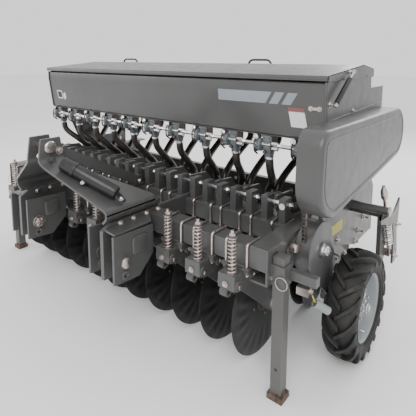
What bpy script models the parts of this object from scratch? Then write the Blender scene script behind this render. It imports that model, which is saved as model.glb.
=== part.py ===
"""Three-point no-till seed drill, eleven rows, as separate named parts.

Metres, +Z up.  X runs along the drill (the drive wheel is at +X), Y runs rearward
from the front face of the front toolbar, and Z is measured from the ground.
At the end one empty moves the whole machine so that the middle of its
bounding box, at floor level, is the origin.
"""
import math

import bmesh
import bpy
from mathutils import Matrix, Vector

# ---------------------------------------------------------------- driving sizes
GAP = 0.0003            # running gap between neighbouring solids
WELD = 2e-6             # corners closer than this are one corner

ROWS = 11
ROW_PITCH = 0.166       # distance between planted rows

BAR = 0.080             # square toolbars
BAR_TOP = 0.596         # top of both toolbars above ground
BAR_BOTTOM = BAR_TOP - BAR
REAR_BAR_Y = 0.250      # front face of the rear toolbar

RAIL_ROOM = 0.142       # from the last planted row to the outer face of a side rail
RAIL_X = (ROWS - 1) / 2 * ROW_PITCH + RAIL_ROOM
RAIL_WALL = 0.008
RAIL_FLANGE = 0.075
RAIL_BOTTOM = 0.465
RAIL_TOP = 0.605
RAIL_END_Y = 1.120

BEAM_X = 2 * ROW_PITCH + 0.007   # fore-aft hitch beams, beside the second row from the middle
BEAM_THICK = 0.020
BEAM_BOTTOM = BAR_BOTTOM - 0.008
BEAM_TOP = BAR_TOP + 0.016
HITCH_FRONT_Y = -0.260
HITCH_REAR_Y = -0.047
HITCH_PLATE = 0.012
HITCH_SPREAD = 0.080    # outer and inner hitch plates from the beam
PIN_Y = -0.204
PIN_Z = 0.462
PIN_RADIUS = 0.011
SPARE_Z = 0.408
CROSS_TUBE = 0.060
CROSS_TUBE_Y = -0.128
CROSS_TUBE_Z = 0.520

MAST_WALL = 0.010
CLEVIS_X = 0.050
MAST_PIN_Y = -0.297
MAST_PIN_Z = 0.907
MAST_PIN_RADIUS = 0.0125
BACKSTAY_TOP = (-0.252, 0.884)
BACKSTAY_FOOT = (0.222, 0.632)
BACKSTAY_BOLT = 0.009
STRAP_THICK = 0.010
STRAP_OUT = 0.032       # outer faces of the backstay's straps
HOLDER_RADIUS = 0.029
HOLDER_CAP = 0.032
HOLDER_SPAN = (0.873, 0.166)     # its ends, as shares of the arm's slope from its foot
HOLDER_FRONT_Y = -0.272
HOLDER_REAR_Y = -0.170

COULTER_RADIUS = 0.240
COULTER_Y = 0.245
COULTER_THICK = 0.008
COULTER_SHIFT = -0.020  # disc plane from the row line
DISC_LIFT = 0.002       # cutting discs hang just clear of a flat floor
AXLE_RADIUS = 0.0125
AXLE_GAP = 0.0005

OPENER_RADIUS = 0.178
OPENER_Y = 0.700
OPENER_SPLAY = 0.0205   # disc centres from the row line
OPENER_TOE = 4.0        # degrees
SHANK = 0.012
POST_TOP = 0.702
PRESS_RADIUS = 0.155
PRESS_WIDTH = 0.052
PRESS_Y = 1.055
PRESS_PIVOT = (0.670, 0.380)     # y, z of the arm's upper end
PRESS_AXLE = 0.010

TYRE_RADIUS = 0.232
TYRE_WIDTH = 0.140
TYRE_Y = 0.480
RIM_RADIUS = 0.138
WHEEL_STEPS = 28        # tyre and rim share their facets, so the seat between them fits

HOPPER_HALF = RAIL_X + 0.048     # inner face of the end panels
SHEET = 0.004
END_SHEET = 0.005
HOPPER_FRONT_Y = 0.336
HOPPER_FLOOR_Z = 0.950
HOPPER_TOP_Z = 1.196
HOPPER_SHOULDER_Z = HOPPER_TOP_Z - 0.046
HOPPER_TOE_Y = 0.362
HOPPER_BACK_Y = 0.885
STEP_BACK_Y = 1.088
STEP_TOP_Z = 1.140
STEP_BOTTOM_Z = 1.000
STEP_TOE_Y = 0.980

LID_SHEET = 0.003
LID_CLEARANCE = 0.005   # between the hopper's ends and the lid's end plates
LID_HALF = HOPPER_HALF + END_SHEET + LID_CLEARANCE + LID_SHEET
LID_FRONT_Y = 0.326
LID_BACK_Y = 0.898
LID_RIDGE_Y = 0.740
LID_FRONT_Z = HOPPER_TOP_Z + 0.026
LID_RIDGE_Z = HOPPER_TOP_Z + 0.066
LID_BACK_Z = HOPPER_TOP_Z + 0.044
LID_LIP_Z = HOPPER_TOP_Z + 0.004
LID_HINGE_Y = 0.331
LID_HINGE_Z = HOPPER_TOP_Z + 0.009
HANDLE_X = 0.780        # left handle from the middle; the right one sits nearer
HANDLE_SHIFT = 0.400
HANDLE_HALF = 0.085
HANDLE_RISE = 0.034
HANDLE_RADIUS = 0.006

STRUT_X = LID_HALF + 0.017
STRUT_LOW = (0.372, HOPPER_TOP_Z - 0.091)
STRUT_HIGH = (0.560, HOPPER_TOP_Z + 0.036)
STRUT_BARREL = 0.011
STRUT_ROD = 0.005
STRUT_BORE = 0.0056
STRUT_STUD = 0.005

LEG_SHEET = 0.008
HOPPER_LEG_X = RAIL_X - 0.010    # inner face of the legs, on the rails' flanges

CUP_Y = 0.378
SHAFT_Y = 0.356
SHAFT_Z = 0.905
CUP_HALF = 0.026
CUP_PITCH = (HOPPER_LEG_X - CUP_HALF - 0.0035) / ((ROWS - 1) / 2)    # the cups fill the room between legs
SHAFT_RADIUS = 0.0095
REAR_METER_Y = 0.800
METER_HALF = 0.025
HOSE_RADIUS = 0.014

GUARD_X = HOPPER_HALF + END_SHEET + 2 * GAP      # inner edge of the upper chain guard
GUARD_DEPTH = 0.098
GUARD_WALL = 0.003
UPPER_GUARD = ((0.235, 0.845, 0.150), (0.160, 0.970, 0.070), (1.060, 0.905, 0.130))
LOW_GUARD_Y = 0.300
LOW_GUARD_Z = 0.520
LOW_GUARD_RADIUS = 0.115
LOW_GUARD_TAIL = (0.440, 0.300, 0.050)
LOW_GUARD_FACE = RAIL_X + 0.073
DRIVE_PLATE = 0.008
DRIVE_PLATE_IN = RAIL_X + GAP
DRIVE_PLATE_OUT = DRIVE_PLATE_IN + DRIVE_PLATE

TYRE_X = LOW_GUARD_FACE + 0.022 + TYRE_WIDTH / 2  # middle plane of the drive wheel
ARM_X = RAIL_X + 0.016  # inner face of the wheel's swing arm
ARM_THICK = 0.028
ARM_PIVOT = (0.820, 0.530)
ARM_KNEE = (0.830, 0.275)
POST_X = RAIL_X + 0.148
POST_THICK = 0.020
SPRING_FOOT = (0.900, 0.330)
SPRING_HEAD = (0.735, 0.700)

STAND_TUBE = 0.045
STAND_TOP = 0.575
SLEEVE_WALL = 0.006
SLEEVE_BITE = 0.003     # how far the sleeve is let into the rail
STAND_X = RAIL_X + STAND_TUBE / 2 + AXLE_GAP + SLEEVE_WALL - SLEEVE_BITE
STAND_Y = 0.052
SLEEVE_BOTTOM = 0.468
SLEEVE_TOP = 0.545

# colours are linear values
PAINT = (0.085, 0.083, 0.081)
BLACK = (0.012, 0.012, 0.013)
DISC_STEEL = (0.020, 0.022, 0.024)
ZINC = (0.42, 0.38, 0.36)
CUP_GREY = (0.13, 0.15, 0.16)
RIM_GREY = (0.30, 0.34, 0.36)
RUBBER = (0.014, 0.014, 0.013)


# ------------------------------------------------------------------ scene set-up
def clear_scene():
    for item in list(bpy.data.objects):
        bpy.data.objects.remove(item, do_unlink=True)


def new_collection(name):
    group = bpy.data.collections.new(name)
    bpy.context.scene.collection.children.link(group)
    return group


clear_scene()
PARTS = new_collection("seed_drill")
CUTTERS = new_collection("cutters")
MACHINE = bpy.data.objects.new("machine", None)
PARTS.objects.link(MACHINE)
MATERIALS = {}


def material(name, colour, roughness, metallic):
    if name not in MATERIALS:
        made = bpy.data.materials.new(name)
        made.use_nodes = True
        shader = made.node_tree.nodes["Principled BSDF"]
        shader.inputs["Base Color"].default_value = (*colour, 1.0)
        shader.inputs["Roughness"].default_value = roughness
        shader.inputs["Metallic"].default_value = metallic
        MATERIALS[name] = made
    return MATERIALS[name]


def paint():
    return material("grey_paint", PAINT, 0.45, 0.0)


def zinc():
    return material("zinc_plate", ZINC, 0.35, 1.0)


def black_plastic():
    return material("black_plastic", BLACK, 0.40, 0.0)


def disc_steel():
    return material("disc_steel", DISC_STEEL, 0.35, 0.6)


# ---------------------------------------------------------------- shape helpers
def object_from_bmesh(shape, name="shape"):
    mesh = bpy.data.meshes.new(name)
    bmesh.ops.recalc_face_normals(shape, faces=shape.faces)
    shape.to_mesh(mesh)
    shape.free()
    made = bpy.data.objects.new(name, mesh)
    CUTTERS.objects.link(made)
    return made


def box(low, high):
    """A box between two corners."""
    low, high = Vector(low), Vector(high)
    shape = bmesh.new()
    bmesh.ops.create_cube(shape, size=1.0)
    bmesh.ops.scale(shape, vec=high - low, verts=shape.verts)
    bmesh.ops.translate(shape, vec=(low + high) / 2, verts=shape.verts)
    return object_from_bmesh(shape)


def rod(start, end, radius, end_radius=None, sides=16):
    """A cylinder or cone between two points."""
    start, end = Vector(start), Vector(end)
    span = end - start
    shape = bmesh.new()
    bmesh.ops.create_cone(
        shape, cap_ends=True, segments=sides, radius1=radius,
        radius2=radius if end_radius is None else end_radius, depth=span.length)
    turn = span.to_track_quat("Z", "Y").to_matrix().to_4x4()
    bmesh.ops.transform(shape, matrix=Matrix.Translation((start + end) / 2) @ turn, verts=shape.verts)
    return object_from_bmesh(shape)


def curve_to_mesh(curve_object):
    """Replace a curve object by a closed mesh object."""
    bpy.context.view_layer.update()
    seen = curve_object.evaluated_get(bpy.context.evaluated_depsgraph_get())
    mesh = bpy.data.meshes.new_from_object(seen)
    made = bpy.data.objects.new("shape", mesh)
    made.matrix_world = curve_object.matrix_world
    shape = bmesh.new()
    shape.from_mesh(mesh)
    bmesh.ops.remove_doubles(shape, verts=shape.verts, dist=1e-6)
    bmesh.ops.transform(shape, matrix=curve_object.matrix_world, verts=shape.verts)
    bmesh.ops.recalc_face_normals(shape, faces=shape.faces)
    shape.to_mesh(mesh)
    shape.free()
    made.matrix_world = Matrix.Identity(4)
    bpy.data.objects.remove(curve_object, do_unlink=True)
    CUTTERS.objects.link(made)
    return made


YZ_TO_WORLD = Matrix(((0, 0, 1, 0), (1, 0, 0, 0), (0, 1, 0, 0), (0, 0, 0, 1)))


def plate(outline, x_low, x_high):
    """A flat outline given as (y, z) points, between two X planes."""
    curve = bpy.data.curves.new("outline", "CURVE")
    curve.dimensions = "2D"
    curve.fill_mode = "BOTH"
    curve.extrude = (x_high - x_low) / 2
    spline = curve.splines.new("POLY")
    spline.points.add(len(outline) - 1)
    for point, (y, z) in zip(spline.points, outline):
        point.co = (y, z, 0.0, 1.0)
    spline.use_cyclic_u = True
    made = bpy.data.objects.new("outline", curve)
    CUTTERS.objects.link(made)
    made.matrix_world = Matrix.Translation(((x_low + x_high) / 2, 0, 0)) @ YZ_TO_WORLD
    return curve_to_mesh(made)


def tube(points, radius, resolution=1):
    """A round tube along a list of points."""
    curve = bpy.data.curves.new("tube", "CURVE")
    curve.dimensions = "3D"
    curve.bevel_depth = radius
    curve.bevel_resolution = resolution
    curve.use_fill_caps = True
    spline = curve.splines.new("POLY")
    spline.points.add(len(points) - 1)
    for point, place in zip(spline.points, points):
        point.co = (*place, 1.0)
    made = bpy.data.objects.new("tube", curve)
    CUTTERS.objects.link(made)
    return curve_to_mesh(made)


def folded_sheet(profile, x_low, x_high, thickness):
    """A folded sheet: a (y, z) profile drawn along X; it thickens to the left of the profile."""
    shape = bmesh.new()
    left = [shape.verts.new((x_low, y, z)) for y, z in profile]
    right = [shape.verts.new((x_high, y, z)) for y, z in profile]
    for i in range(len(profile) - 1):
        shape.faces.new((left[i], left[i + 1], right[i + 1], right[i]))
    mesh = bpy.data.meshes.new("sheet")
    shape.to_mesh(mesh)
    shape.free()
    made = bpy.data.objects.new("sheet", mesh)
    CUTTERS.objects.link(made)
    thicken(made, thickness)
    return bake(made)


def thicken(item, thickness):
    modifier = item.modifiers.new("thickness", "SOLIDIFY")
    modifier.thickness = thickness
    modifier.offset = -1.0
    modifier.use_even_offset = True


def turned(profile, x_middle, y, z, steps=32):
    """A body turned about an axis along X; the profile holds (radius, along X) points."""
    shape = bmesh.new()
    verts = [shape.verts.new((radius, 0.0, along)) for radius, along in profile]
    for first, second in zip(verts, verts[1:]):
        shape.edges.new((first, second))
    if profile[0][0] > 0:
        shape.edges.new((verts[-1], verts[0]))
    mesh = bpy.data.meshes.new("profile")
    shape.to_mesh(mesh)
    shape.free()
    made = bpy.data.objects.new("profile", mesh)
    CUTTERS.objects.link(made)
    screw = made.modifiers.new("turn", "SCREW")
    screw.steps = steps
    screw.render_steps = steps
    screw.use_merge_vertices = True
    screw.merge_threshold = 1e-5
    made = bake(made)
    shape = bmesh.new()
    shape.from_mesh(made.data)
    bmesh.ops.transform(
        shape, matrix=Matrix.Translation((x_middle, y, z)) @ Matrix.Rotation(math.pi / 2, 4, "Y"),
        verts=shape.verts)
    bmesh.ops.recalc_face_normals(shape, faces=shape.faces)
    shape.to_mesh(made.data)
    shape.free()
    return made


def bake(item):
    """Apply an object's modifiers to its mesh."""
    bpy.context.view_layer.update()
    seen = item.evaluated_get(bpy.context.evaluated_depsgraph_get())
    mesh = bpy.data.meshes.new_from_object(seen)
    item.modifiers.clear()
    item.data = mesh
    return item


def combine(base, others, operation):
    """Boolean the other shapes with the base and remove them."""
    for other in others:
        modifier = base.modifiers.new("join", "BOOLEAN")
        modifier.operation = operation
        modifier.solver = "EXACT"
        modifier.object = other
    bake(base)
    tidy(base)
    for other in others:
        bpy.data.objects.remove(other, do_unlink=True)
    return base


def tidy(item):
    """Weld corners that a Boolean left a hair apart."""
    shape = bmesh.new()
    shape.from_mesh(item.data)
    bmesh.ops.remove_doubles(shape, verts=shape.verts, dist=WELD)
    bmesh.ops.dissolve_degenerate(shape, dist=WELD, edges=shape.edges)
    bmesh.ops.dissolve_limit(shape, angle_limit=math.radians(0.2), verts=shape.verts, edges=shape.edges)
    bmesh.ops.triangulate(shape, faces=shape.faces)
    shape.to_mesh(item.data)
    shape.free()


def union(*shapes):
    return combine(shapes[0], shapes[1:], "UNION")


def cut(base, *tools):
    return combine(base, tools, "DIFFERENCE")


def part(name, shape, look, origin=(0, 0, 0)):
    """Name a shape, give it its material and its origin, and file it as a part."""
    shape.name = name
    shape.data.name = name
    shape.data.transform(Matrix.Translation(-Vector(origin)))
    shape.location = origin
    shape.data.materials.clear()
    shape.data.materials.append(look)
    shape.data.shade_smooth()
    shape.data.set_sharp_from_angle(angle=math.radians(35))
    CUTTERS.objects.unlink(shape)
    PARTS.objects.link(shape)
    shape.parent = MACHINE
    return shape


def arc(y, z, radius, start, end, steps):
    """Points on an arc in the YZ plane, angles in degrees from +Y."""
    points = []
    for i in range(steps + 1):
        angle = math.radians(start + (end - start) * i / steps)
        points.append((y + radius * math.cos(angle), z + radius * math.sin(angle)))
    return points


def around(circles, steps=24):
    """The tight outline (a belt) around circles given as (y, z, radius)."""
    points = set()
    for y, z, radius in circles:
        for point in arc(y, z, radius, 0, 360, steps):
            points.add((round(point[0], 6), round(point[1], 6)))
    points = sorted(points)
    lower, upper = [], []
    for chain, order in ((lower, points), (upper, reversed(points))):
        for point in order:
            while len(chain) > 1 and turn_of(chain[-2], chain[-1], point) <= 1e-9:
                chain.pop()
            chain.append(point)
    return lower[:-1] + upper[:-1]


def turn_of(a, b, c):
    return (b[0] - a[0]) * (c[1] - a[1]) - (b[1] - a[1]) * (c[0] - a[0])


def row_x(row):
    return (row - (ROWS - 1) / 2) * ROW_PITCH


def cup_x(row):
    return (row - (ROWS - 1) / 2) * CUP_PITCH


# --------------------------------------------------------------------- the frame
BEAM_IN = BEAM_X - BEAM_THICK / 2
BEAM_OUT = BEAM_X + BEAM_THICK / 2
RAIL_INNER = RAIL_X - RAIL_WALL
STRAP_IN = STRAP_OUT - STRAP_THICK
SPANS = {
    "left": (-RAIL_INNER + GAP, -BEAM_OUT - GAP),
    "centre": (-BEAM_IN + GAP, BEAM_IN - GAP),
    "right": (BEAM_OUT + GAP, RAIL_INNER - GAP),
}


def rows_in(span):
    return [row for row in range(ROWS) if span[0] < row_x(row) < span[1]]


def is_beam_row(x):
    """True where a planted row lies on a hitch beam."""
    return abs(abs(x) - BEAM_X) < BEAM_THICK


def coulter_arm(x, top_y, top_z):
    """Flat arm beside the disc, with the stub axle that the disc turns on."""
    hub_z = COULTER_RADIUS + DISC_LIFT
    blade = plate(around([(top_y, top_z, 0.030), (COULTER_Y, hub_z, 0.036)], 12), x + 0.010, x + 0.030)
    axle = rod((x - 0.050, COULTER_Y, hub_z), (x + 0.046, COULTER_Y, hub_z), AXLE_RADIUS, sides=8)
    return [blade, axle]


def coulter_bracket(x):
    """Cast clamp under the front toolbar with a nose that carries the spring."""
    heel = BAR + 0.018
    seat = BAR_BOTTOM + 0.004
    nose = BAR_BOTTOM - 0.018
    outline = [(-0.072, nose), (-0.072, nose - 0.058), (-0.030, nose - 0.073), (BAR - 0.030, nose - 0.066),
               (heel, nose - 0.028), (heel, seat), (0.002, seat), (-0.004, nose)]
    casting = plate(outline, x - 0.030, x + 0.045)
    axis = (x + 0.015, -0.045)
    spring_rod = rod((*axis, nose - 0.018), (*axis, BAR_TOP + 0.059), 0.007, sides=6)
    washer = rod((*axis, BAR_TOP + 0.040), (*axis, BAR_TOP + 0.046), 0.018, sides=8)
    return [casting, spring_rod, washer]


def front_toolbars():
    for side, span in SPANS.items():
        bar = box((span[0], 0.0, BAR_BOTTOM), (span[1], BAR, BAR_TOP))
        pieces = []
        for row in rows_in(span):
            if not is_beam_row(row_x(row)):
                pieces += coulter_bracket(row_x(row)) + coulter_arm(row_x(row), -0.012, BAR_BOTTOM - 0.054)
        part("front_toolbar_" + side, union(bar, *pieces), paint())


def opener_posts(x):
    """Two upright lugs with a pin; a lug on the neighbouring toolbar only rests on it."""
    front, rear = REAR_BAR_Y + 0.012, REAR_BAR_Y + 0.070
    lugs = []
    for low, high in ((x - 0.050, x - 0.020), (x + 0.036, x + 0.066)):
        rests = is_beam_row(x) and abs(low + high) / 2 < BEAM_X
        foot = BAR_TOP + GAP if rests else BAR_TOP - 0.006
        lugs.append(box((low, front, foot), (high, rear, POST_TOP)))
    pin_z = POST_TOP - 0.034
    pin = rod((x - 0.024, rear - 0.010, pin_z), (x + 0.040, rear - 0.010, pin_z), 0.012, sides=6)
    return [*lugs, pin]


def opener_shank(x):
    """Shank from the posts down to the hub between the two opener discs."""
    hub_z = OPENER_RADIUS + DISC_LIFT
    rear_face = REAR_BAR_Y + BAR
    drop = 0.0 if is_beam_row(x) else 0.006
    outline = [(REAR_BAR_Y + 0.050, 0.700), (REAR_BAR_Y + 0.050, 0.640), (rear_face - drop + 0.003, 0.624),
               (rear_face - drop + 0.003, 0.560), (0.560, 0.330), (0.655, 0.175), (0.735, 0.160),
               (0.745, 0.220), (0.690, 0.400), (0.430, 0.690)]
    shank = plate(outline, x - SHANK / 2, x + SHANK / 2)
    hub = rod((x - 0.034, OPENER_Y, hub_z), (x + 0.034, OPENER_Y, hub_z), 0.026, sides=6)
    return [shank, hub]


def opener_disc(x, side):
    """One of the two thin discs, toed in so that they meet at the front."""
    hub_z = OPENER_RADIUS + DISC_LIFT
    disc = rod((-0.002, 0, 0), (0.002, 0, 0), OPENER_RADIUS, sides=18)
    toe = Matrix.Rotation(math.radians(OPENER_TOE) * side, 4, "Z")
    disc.data.transform(Matrix.Translation((x + OPENER_SPLAY * side, OPENER_Y, hub_z)) @ toe)
    return disc


def press_arm(x):
    """Arm of a press wheel, the link that joins it to the shank, and the axle."""
    blade = plate(around([(*PRESS_PIVOT, 0.026), (PRESS_Y, PRESS_RADIUS, 0.024)], 8), x + 0.036, x + 0.046)
    axle = rod((x - 0.034, PRESS_Y, PRESS_RADIUS), (x + 0.041, PRESS_Y, PRESS_RADIUS), PRESS_AXLE, sides=8)
    link = rod((x - 0.005, *PRESS_PIVOT), (x + 0.041, *PRESS_PIVOT), 0.014, sides=6)
    return [blade, axle, link]


def rear_toolbars():
    for side, span in SPANS.items():
        bar = box((span[0], REAR_BAR_Y, BAR_BOTTOM), (span[1], REAR_BAR_Y + BAR, BAR_TOP))
        pieces = []
        for row in rows_in((span[0] - BEAM_THICK, span[1] + BEAM_THICK)):
            x = row_x(row)
            if is_beam_row(x) and side == "centre":
                continue
            pieces += opener_posts(x) + opener_shank(x) + press_arm(x)
            pieces += [opener_disc(x, -1), opener_disc(x, 1)]
        if side == "centre":
            lug_y, lug_z = BACKSTAY_FOOT
            pieces.append(box((-STRAP_IN + 0.002, lug_y - 0.017, BAR_TOP - 0.036),
                              (STRAP_IN - 0.002, REAR_BAR_Y + 0.004, lug_z + 0.023)))
        part("rear_toolbar_" + side, union(bar, *pieces), paint())


def side_rail(side):
    """C-shaped side rail with its web outside, and the sleeve of the parking stand."""
    outer, inner = side * RAIL_X, side * (RAIL_X - RAIL_FLANGE)
    low, high = min(outer, inner), max(outer, inner)
    rail = box((low, -0.004, RAIL_BOTTOM), (high, RAIL_END_Y, RAIL_TOP))
    pocket_edge = side * (RAIL_X - RAIL_WALL)
    pocket = box((min(pocket_edge, inner - side * 0.1), -0.1, RAIL_BOTTOM + RAIL_WALL),
                 (max(pocket_edge, inner - side * 0.1), RAIL_END_Y + 0.1, RAIL_TOP - RAIL_WALL))
    cut(rail, pocket)
    half = STAND_TUBE / 2 + AXLE_GAP
    x = side * STAND_X
    outer_half = half + SLEEVE_WALL
    sleeve = box((x - outer_half, STAND_Y - outer_half, SLEEVE_BOTTOM),
                 (x + outer_half, STAND_Y + outer_half, SLEEVE_TOP))
    union(rail, sleeve)
    bore = box((x - half, STAND_Y - half, SLEEVE_BOTTOM - 0.02),
               (x + half, STAND_Y + half, SLEEVE_TOP + 0.02))
    return cut(rail, bore)


def side_rails():
    part("side_rail_left", side_rail(-1), paint())
    part("side_rail_right", side_rail(1), paint())


def stand_leg(side):
    """Square leg of a parking stand with its wider foot."""
    half = STAND_TUBE / 2
    x = side * STAND_X
    leg = box((x - half, STAND_Y - half, 0.020), (x + half, STAND_Y + half, STAND_TOP))
    foot = box((x - half - 0.010, STAND_Y - half - 0.008, 0.0),
               (x + half + 0.010, STAND_Y + half + 0.008, 0.024))
    return union(leg, foot)


def stands():
    for name, side in (("left", -1), ("right", 1)):
        part("parking_stand_" + name, stand_leg(side), paint(), (side * STAND_X, STAND_Y, SLEEVE_BOTTOM))


# --------------------------------------------------------------------- the hitch
HITCH_OUTLINE = [(HITCH_FRONT_Y, 0.383), (HITCH_REAR_Y - 0.080, 0.374), (HITCH_REAR_Y, 0.449),
                 (HITCH_REAR_Y, 0.576), (HITCH_FRONT_Y, 0.586)]


def hitch_beam(side):
    """Fore-aft beam whose front end is the middle hitch plate."""
    x = side * BEAM_X
    low, high = x - BEAM_THICK / 2, x + BEAM_THICK / 2
    front = HITCH_FRONT_Y + 0.006
    outline = [(front, 0.378), (HITCH_REAR_Y - 0.080, 0.372), (HITCH_REAR_Y - 0.004, 0.445),
               (HITCH_REAR_Y - 0.004, BEAM_BOTTOM), (REAR_BAR_Y + BAR, BEAM_BOTTOM),
               (REAR_BAR_Y + BAR, BEAM_TOP), (front + 0.045, BEAM_TOP), (front, 0.588)]
    beam = plate(outline, low, high)
    arm_x = next(row_x(row) for row in range(ROWS) if row_x(row) * side > 0 and is_beam_row(row_x(row)))
    hanger = box((min(low + 0.002, arm_x + 0.008), 0.0, BAR_BOTTOM - 0.046),
                 (max(high - 0.002, arm_x + 0.032), BAR - 0.010, BAR_BOTTOM - 0.0005))
    beam = union(beam, hanger, *coulter_arm(arm_x, 0.020, BAR_BOTTOM - 0.038))
    half = CROSS_TUBE / 2 + GAP
    tube_hole = box((low - 0.02, CROSS_TUBE_Y - half, CROSS_TUBE_Z - half),
                    (high + 0.02, CROSS_TUBE_Y + half, CROSS_TUBE_Z + half))
    pin_hole = rod((low - 0.02, PIN_Y, PIN_Z), (high + 0.02, PIN_Y, PIN_Z), PIN_RADIUS + GAP * 2)
    return cut(beam, tube_hole, pin_hole)


def hitch_plates(side):
    """The outer two plates of one lower hitch, with the tube and pin through all three."""
    x = side * BEAM_X
    plates = []
    for offset in (-HITCH_SPREAD, HITCH_SPREAD):
        middle = x + offset
        plates.append(plate(HITCH_OUTLINE, middle - HITCH_PLATE / 2, middle + HITCH_PLATE / 2))
        boss = rod((middle - 0.010, PIN_Y, SPARE_Z), (middle + 0.010, PIN_Y, SPARE_Z), 0.018, sides=12)
        plates.append(boss)
    reach = HITCH_SPREAD + HITCH_PLATE / 2
    half = CROSS_TUBE / 2
    cross = box((x - reach - 0.008, CROSS_TUBE_Y - half, CROSS_TUBE_Z - half),
                (x + reach + 0.008, CROSS_TUBE_Y + half, CROSS_TUBE_Z + half))
    pin = rod((x - reach - 0.016, PIN_Y, PIN_Z), (x + reach + 0.012, PIN_Y, PIN_Z), PIN_RADIUS, sides=12)
    head = rod((x + reach - 0.004, PIN_Y, PIN_Z), (x + reach + 0.010, PIN_Y, PIN_Z), 0.020, sides=14)
    body = union(cross, *plates, pin, head)
    holes = []
    for offset in (-HITCH_SPREAD, HITCH_SPREAD):
        middle = x + offset
        hole = rod((middle - 0.02, PIN_Y, SPARE_Z), (middle + 0.02, PIN_Y, SPARE_Z), PIN_RADIUS, sides=12)
        holes.append(hole)
    return cut(body, *holes)


MAST_STATIONS = [
    # x, z, front y, rear y
    (BEAM_X, BEAM_TOP + GAP, -0.245, 0.070),
    (BEAM_X + 0.033, BEAM_TOP + 0.028, -0.248, 0.050),
    (BEAM_X + 0.033, BEAM_TOP + 0.064, -0.250, 0.020),
    (CLEVIS_X + 0.025, MAST_PIN_Z - 0.079, -0.340, -0.225),
    (CLEVIS_X, MAST_PIN_Z - 0.057, -0.350, -0.232),
    (CLEVIS_X, MAST_PIN_Z + 0.038, -0.335, -0.245),
]


def mast_arm(side):
    """Folded arm from a hitch beam up to one cheek of the top clevis."""
    shape = bmesh.new()
    rows = []
    for x, z, front, rear in MAST_STATIONS:
        rows.append([shape.verts.new((side * x, front, z)), shape.verts.new((side * x, rear, z))])
    for lower, upper in zip(rows, rows[1:]):
        shape.faces.new((lower[0], lower[1], upper[1], upper[0]))
    mesh = bpy.data.meshes.new("arm")
    shape.to_mesh(mesh)
    shape.free()
    made = bpy.data.objects.new("arm", mesh)
    CUTTERS.objects.link(made)
    thicken(made, MAST_WALL * side)
    bake(made)
    inside, outside = side * (CLEVIS_X - 0.020), side * (CLEVIS_X + 0.030)
    spare_z = MAST_PIN_Z - 0.05
    hole = rod((inside, MAST_PIN_Y, MAST_PIN_Z), (outside, MAST_PIN_Y, MAST_PIN_Z), MAST_PIN_RADIUS + GAP)
    spare = rod((inside, MAST_PIN_Y, spare_z), (outside, MAST_PIN_Y, spare_z), 0.010)
    return cut(made, hole, spare)


def hitch():
    for name, side in (("left", -1), ("right", 1)):
        part("hitch_beam_" + name, hitch_beam(side), paint())
        part("hitch_plates_" + name, hitch_plates(side), paint())
        part("mast_arm_" + name, mast_arm(side), paint())
    reach = CLEVIS_X + GAP
    axis = (MAST_PIN_Y, MAST_PIN_Z)
    pin = rod((-reach - 0.022, *axis), (reach + 0.004, *axis), MAST_PIN_RADIUS)
    head = rod((reach, *axis), (reach + 0.010, *axis), 0.026)
    part("top_link_pin", union(pin, head), zinc())


def backstay():
    straps = []
    for side in (-1, 1):
        low, high = sorted((side * STRAP_IN, side * STRAP_OUT))
        straps.append(plate(around([(*BACKSTAY_TOP, 0.024), (*BACKSTAY_FOOT, 0.024)], 12), low, high))
    reach = CLEVIS_X - MAST_WALL - GAP
    top = rod((-reach, *BACKSTAY_TOP), (reach, *BACKSTAY_TOP), BACKSTAY_BOLT, sides=12)
    low_bolt = rod((STRAP_IN - 0.0015, *BACKSTAY_FOOT), (STRAP_OUT + 0.008, *BACKSTAY_FOOT), BACKSTAY_BOLT,
                   sides=12)
    part("mast_backstay", union(straps[0], straps[1], top, low_bolt), paint())


def holder_end(share, y):
    """A point on the holder's axis, which lies along the sloping part of the right mast arm."""
    (foot_x, foot_z), (head_x, head_z) = MAST_STATIONS[2][:2], MAST_STATIONS[3][:2]
    slope = Vector((head_x - foot_x, head_z - foot_z))
    outward = Vector((slope.y, -slope.x)).normalized() * (HOLDER_CAP + GAP)
    return Vector((foot_x + slope.x * share + outward.x, y, foot_z + slope.y * share + outward.y))


def manual_holder():
    start, end = holder_end(HOLDER_SPAN[0], HOLDER_FRONT_Y), holder_end(HOLDER_SPAN[1], HOLDER_REAR_Y)
    along = (end - start).normalized()
    body = rod(start, end, HOLDER_RADIUS, sides=20)
    cap = rod(start - along * 0.012, start + along * 0.050, HOLDER_CAP, sides=20)
    part("manual_holder", union(body, cap), black_plastic())


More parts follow.
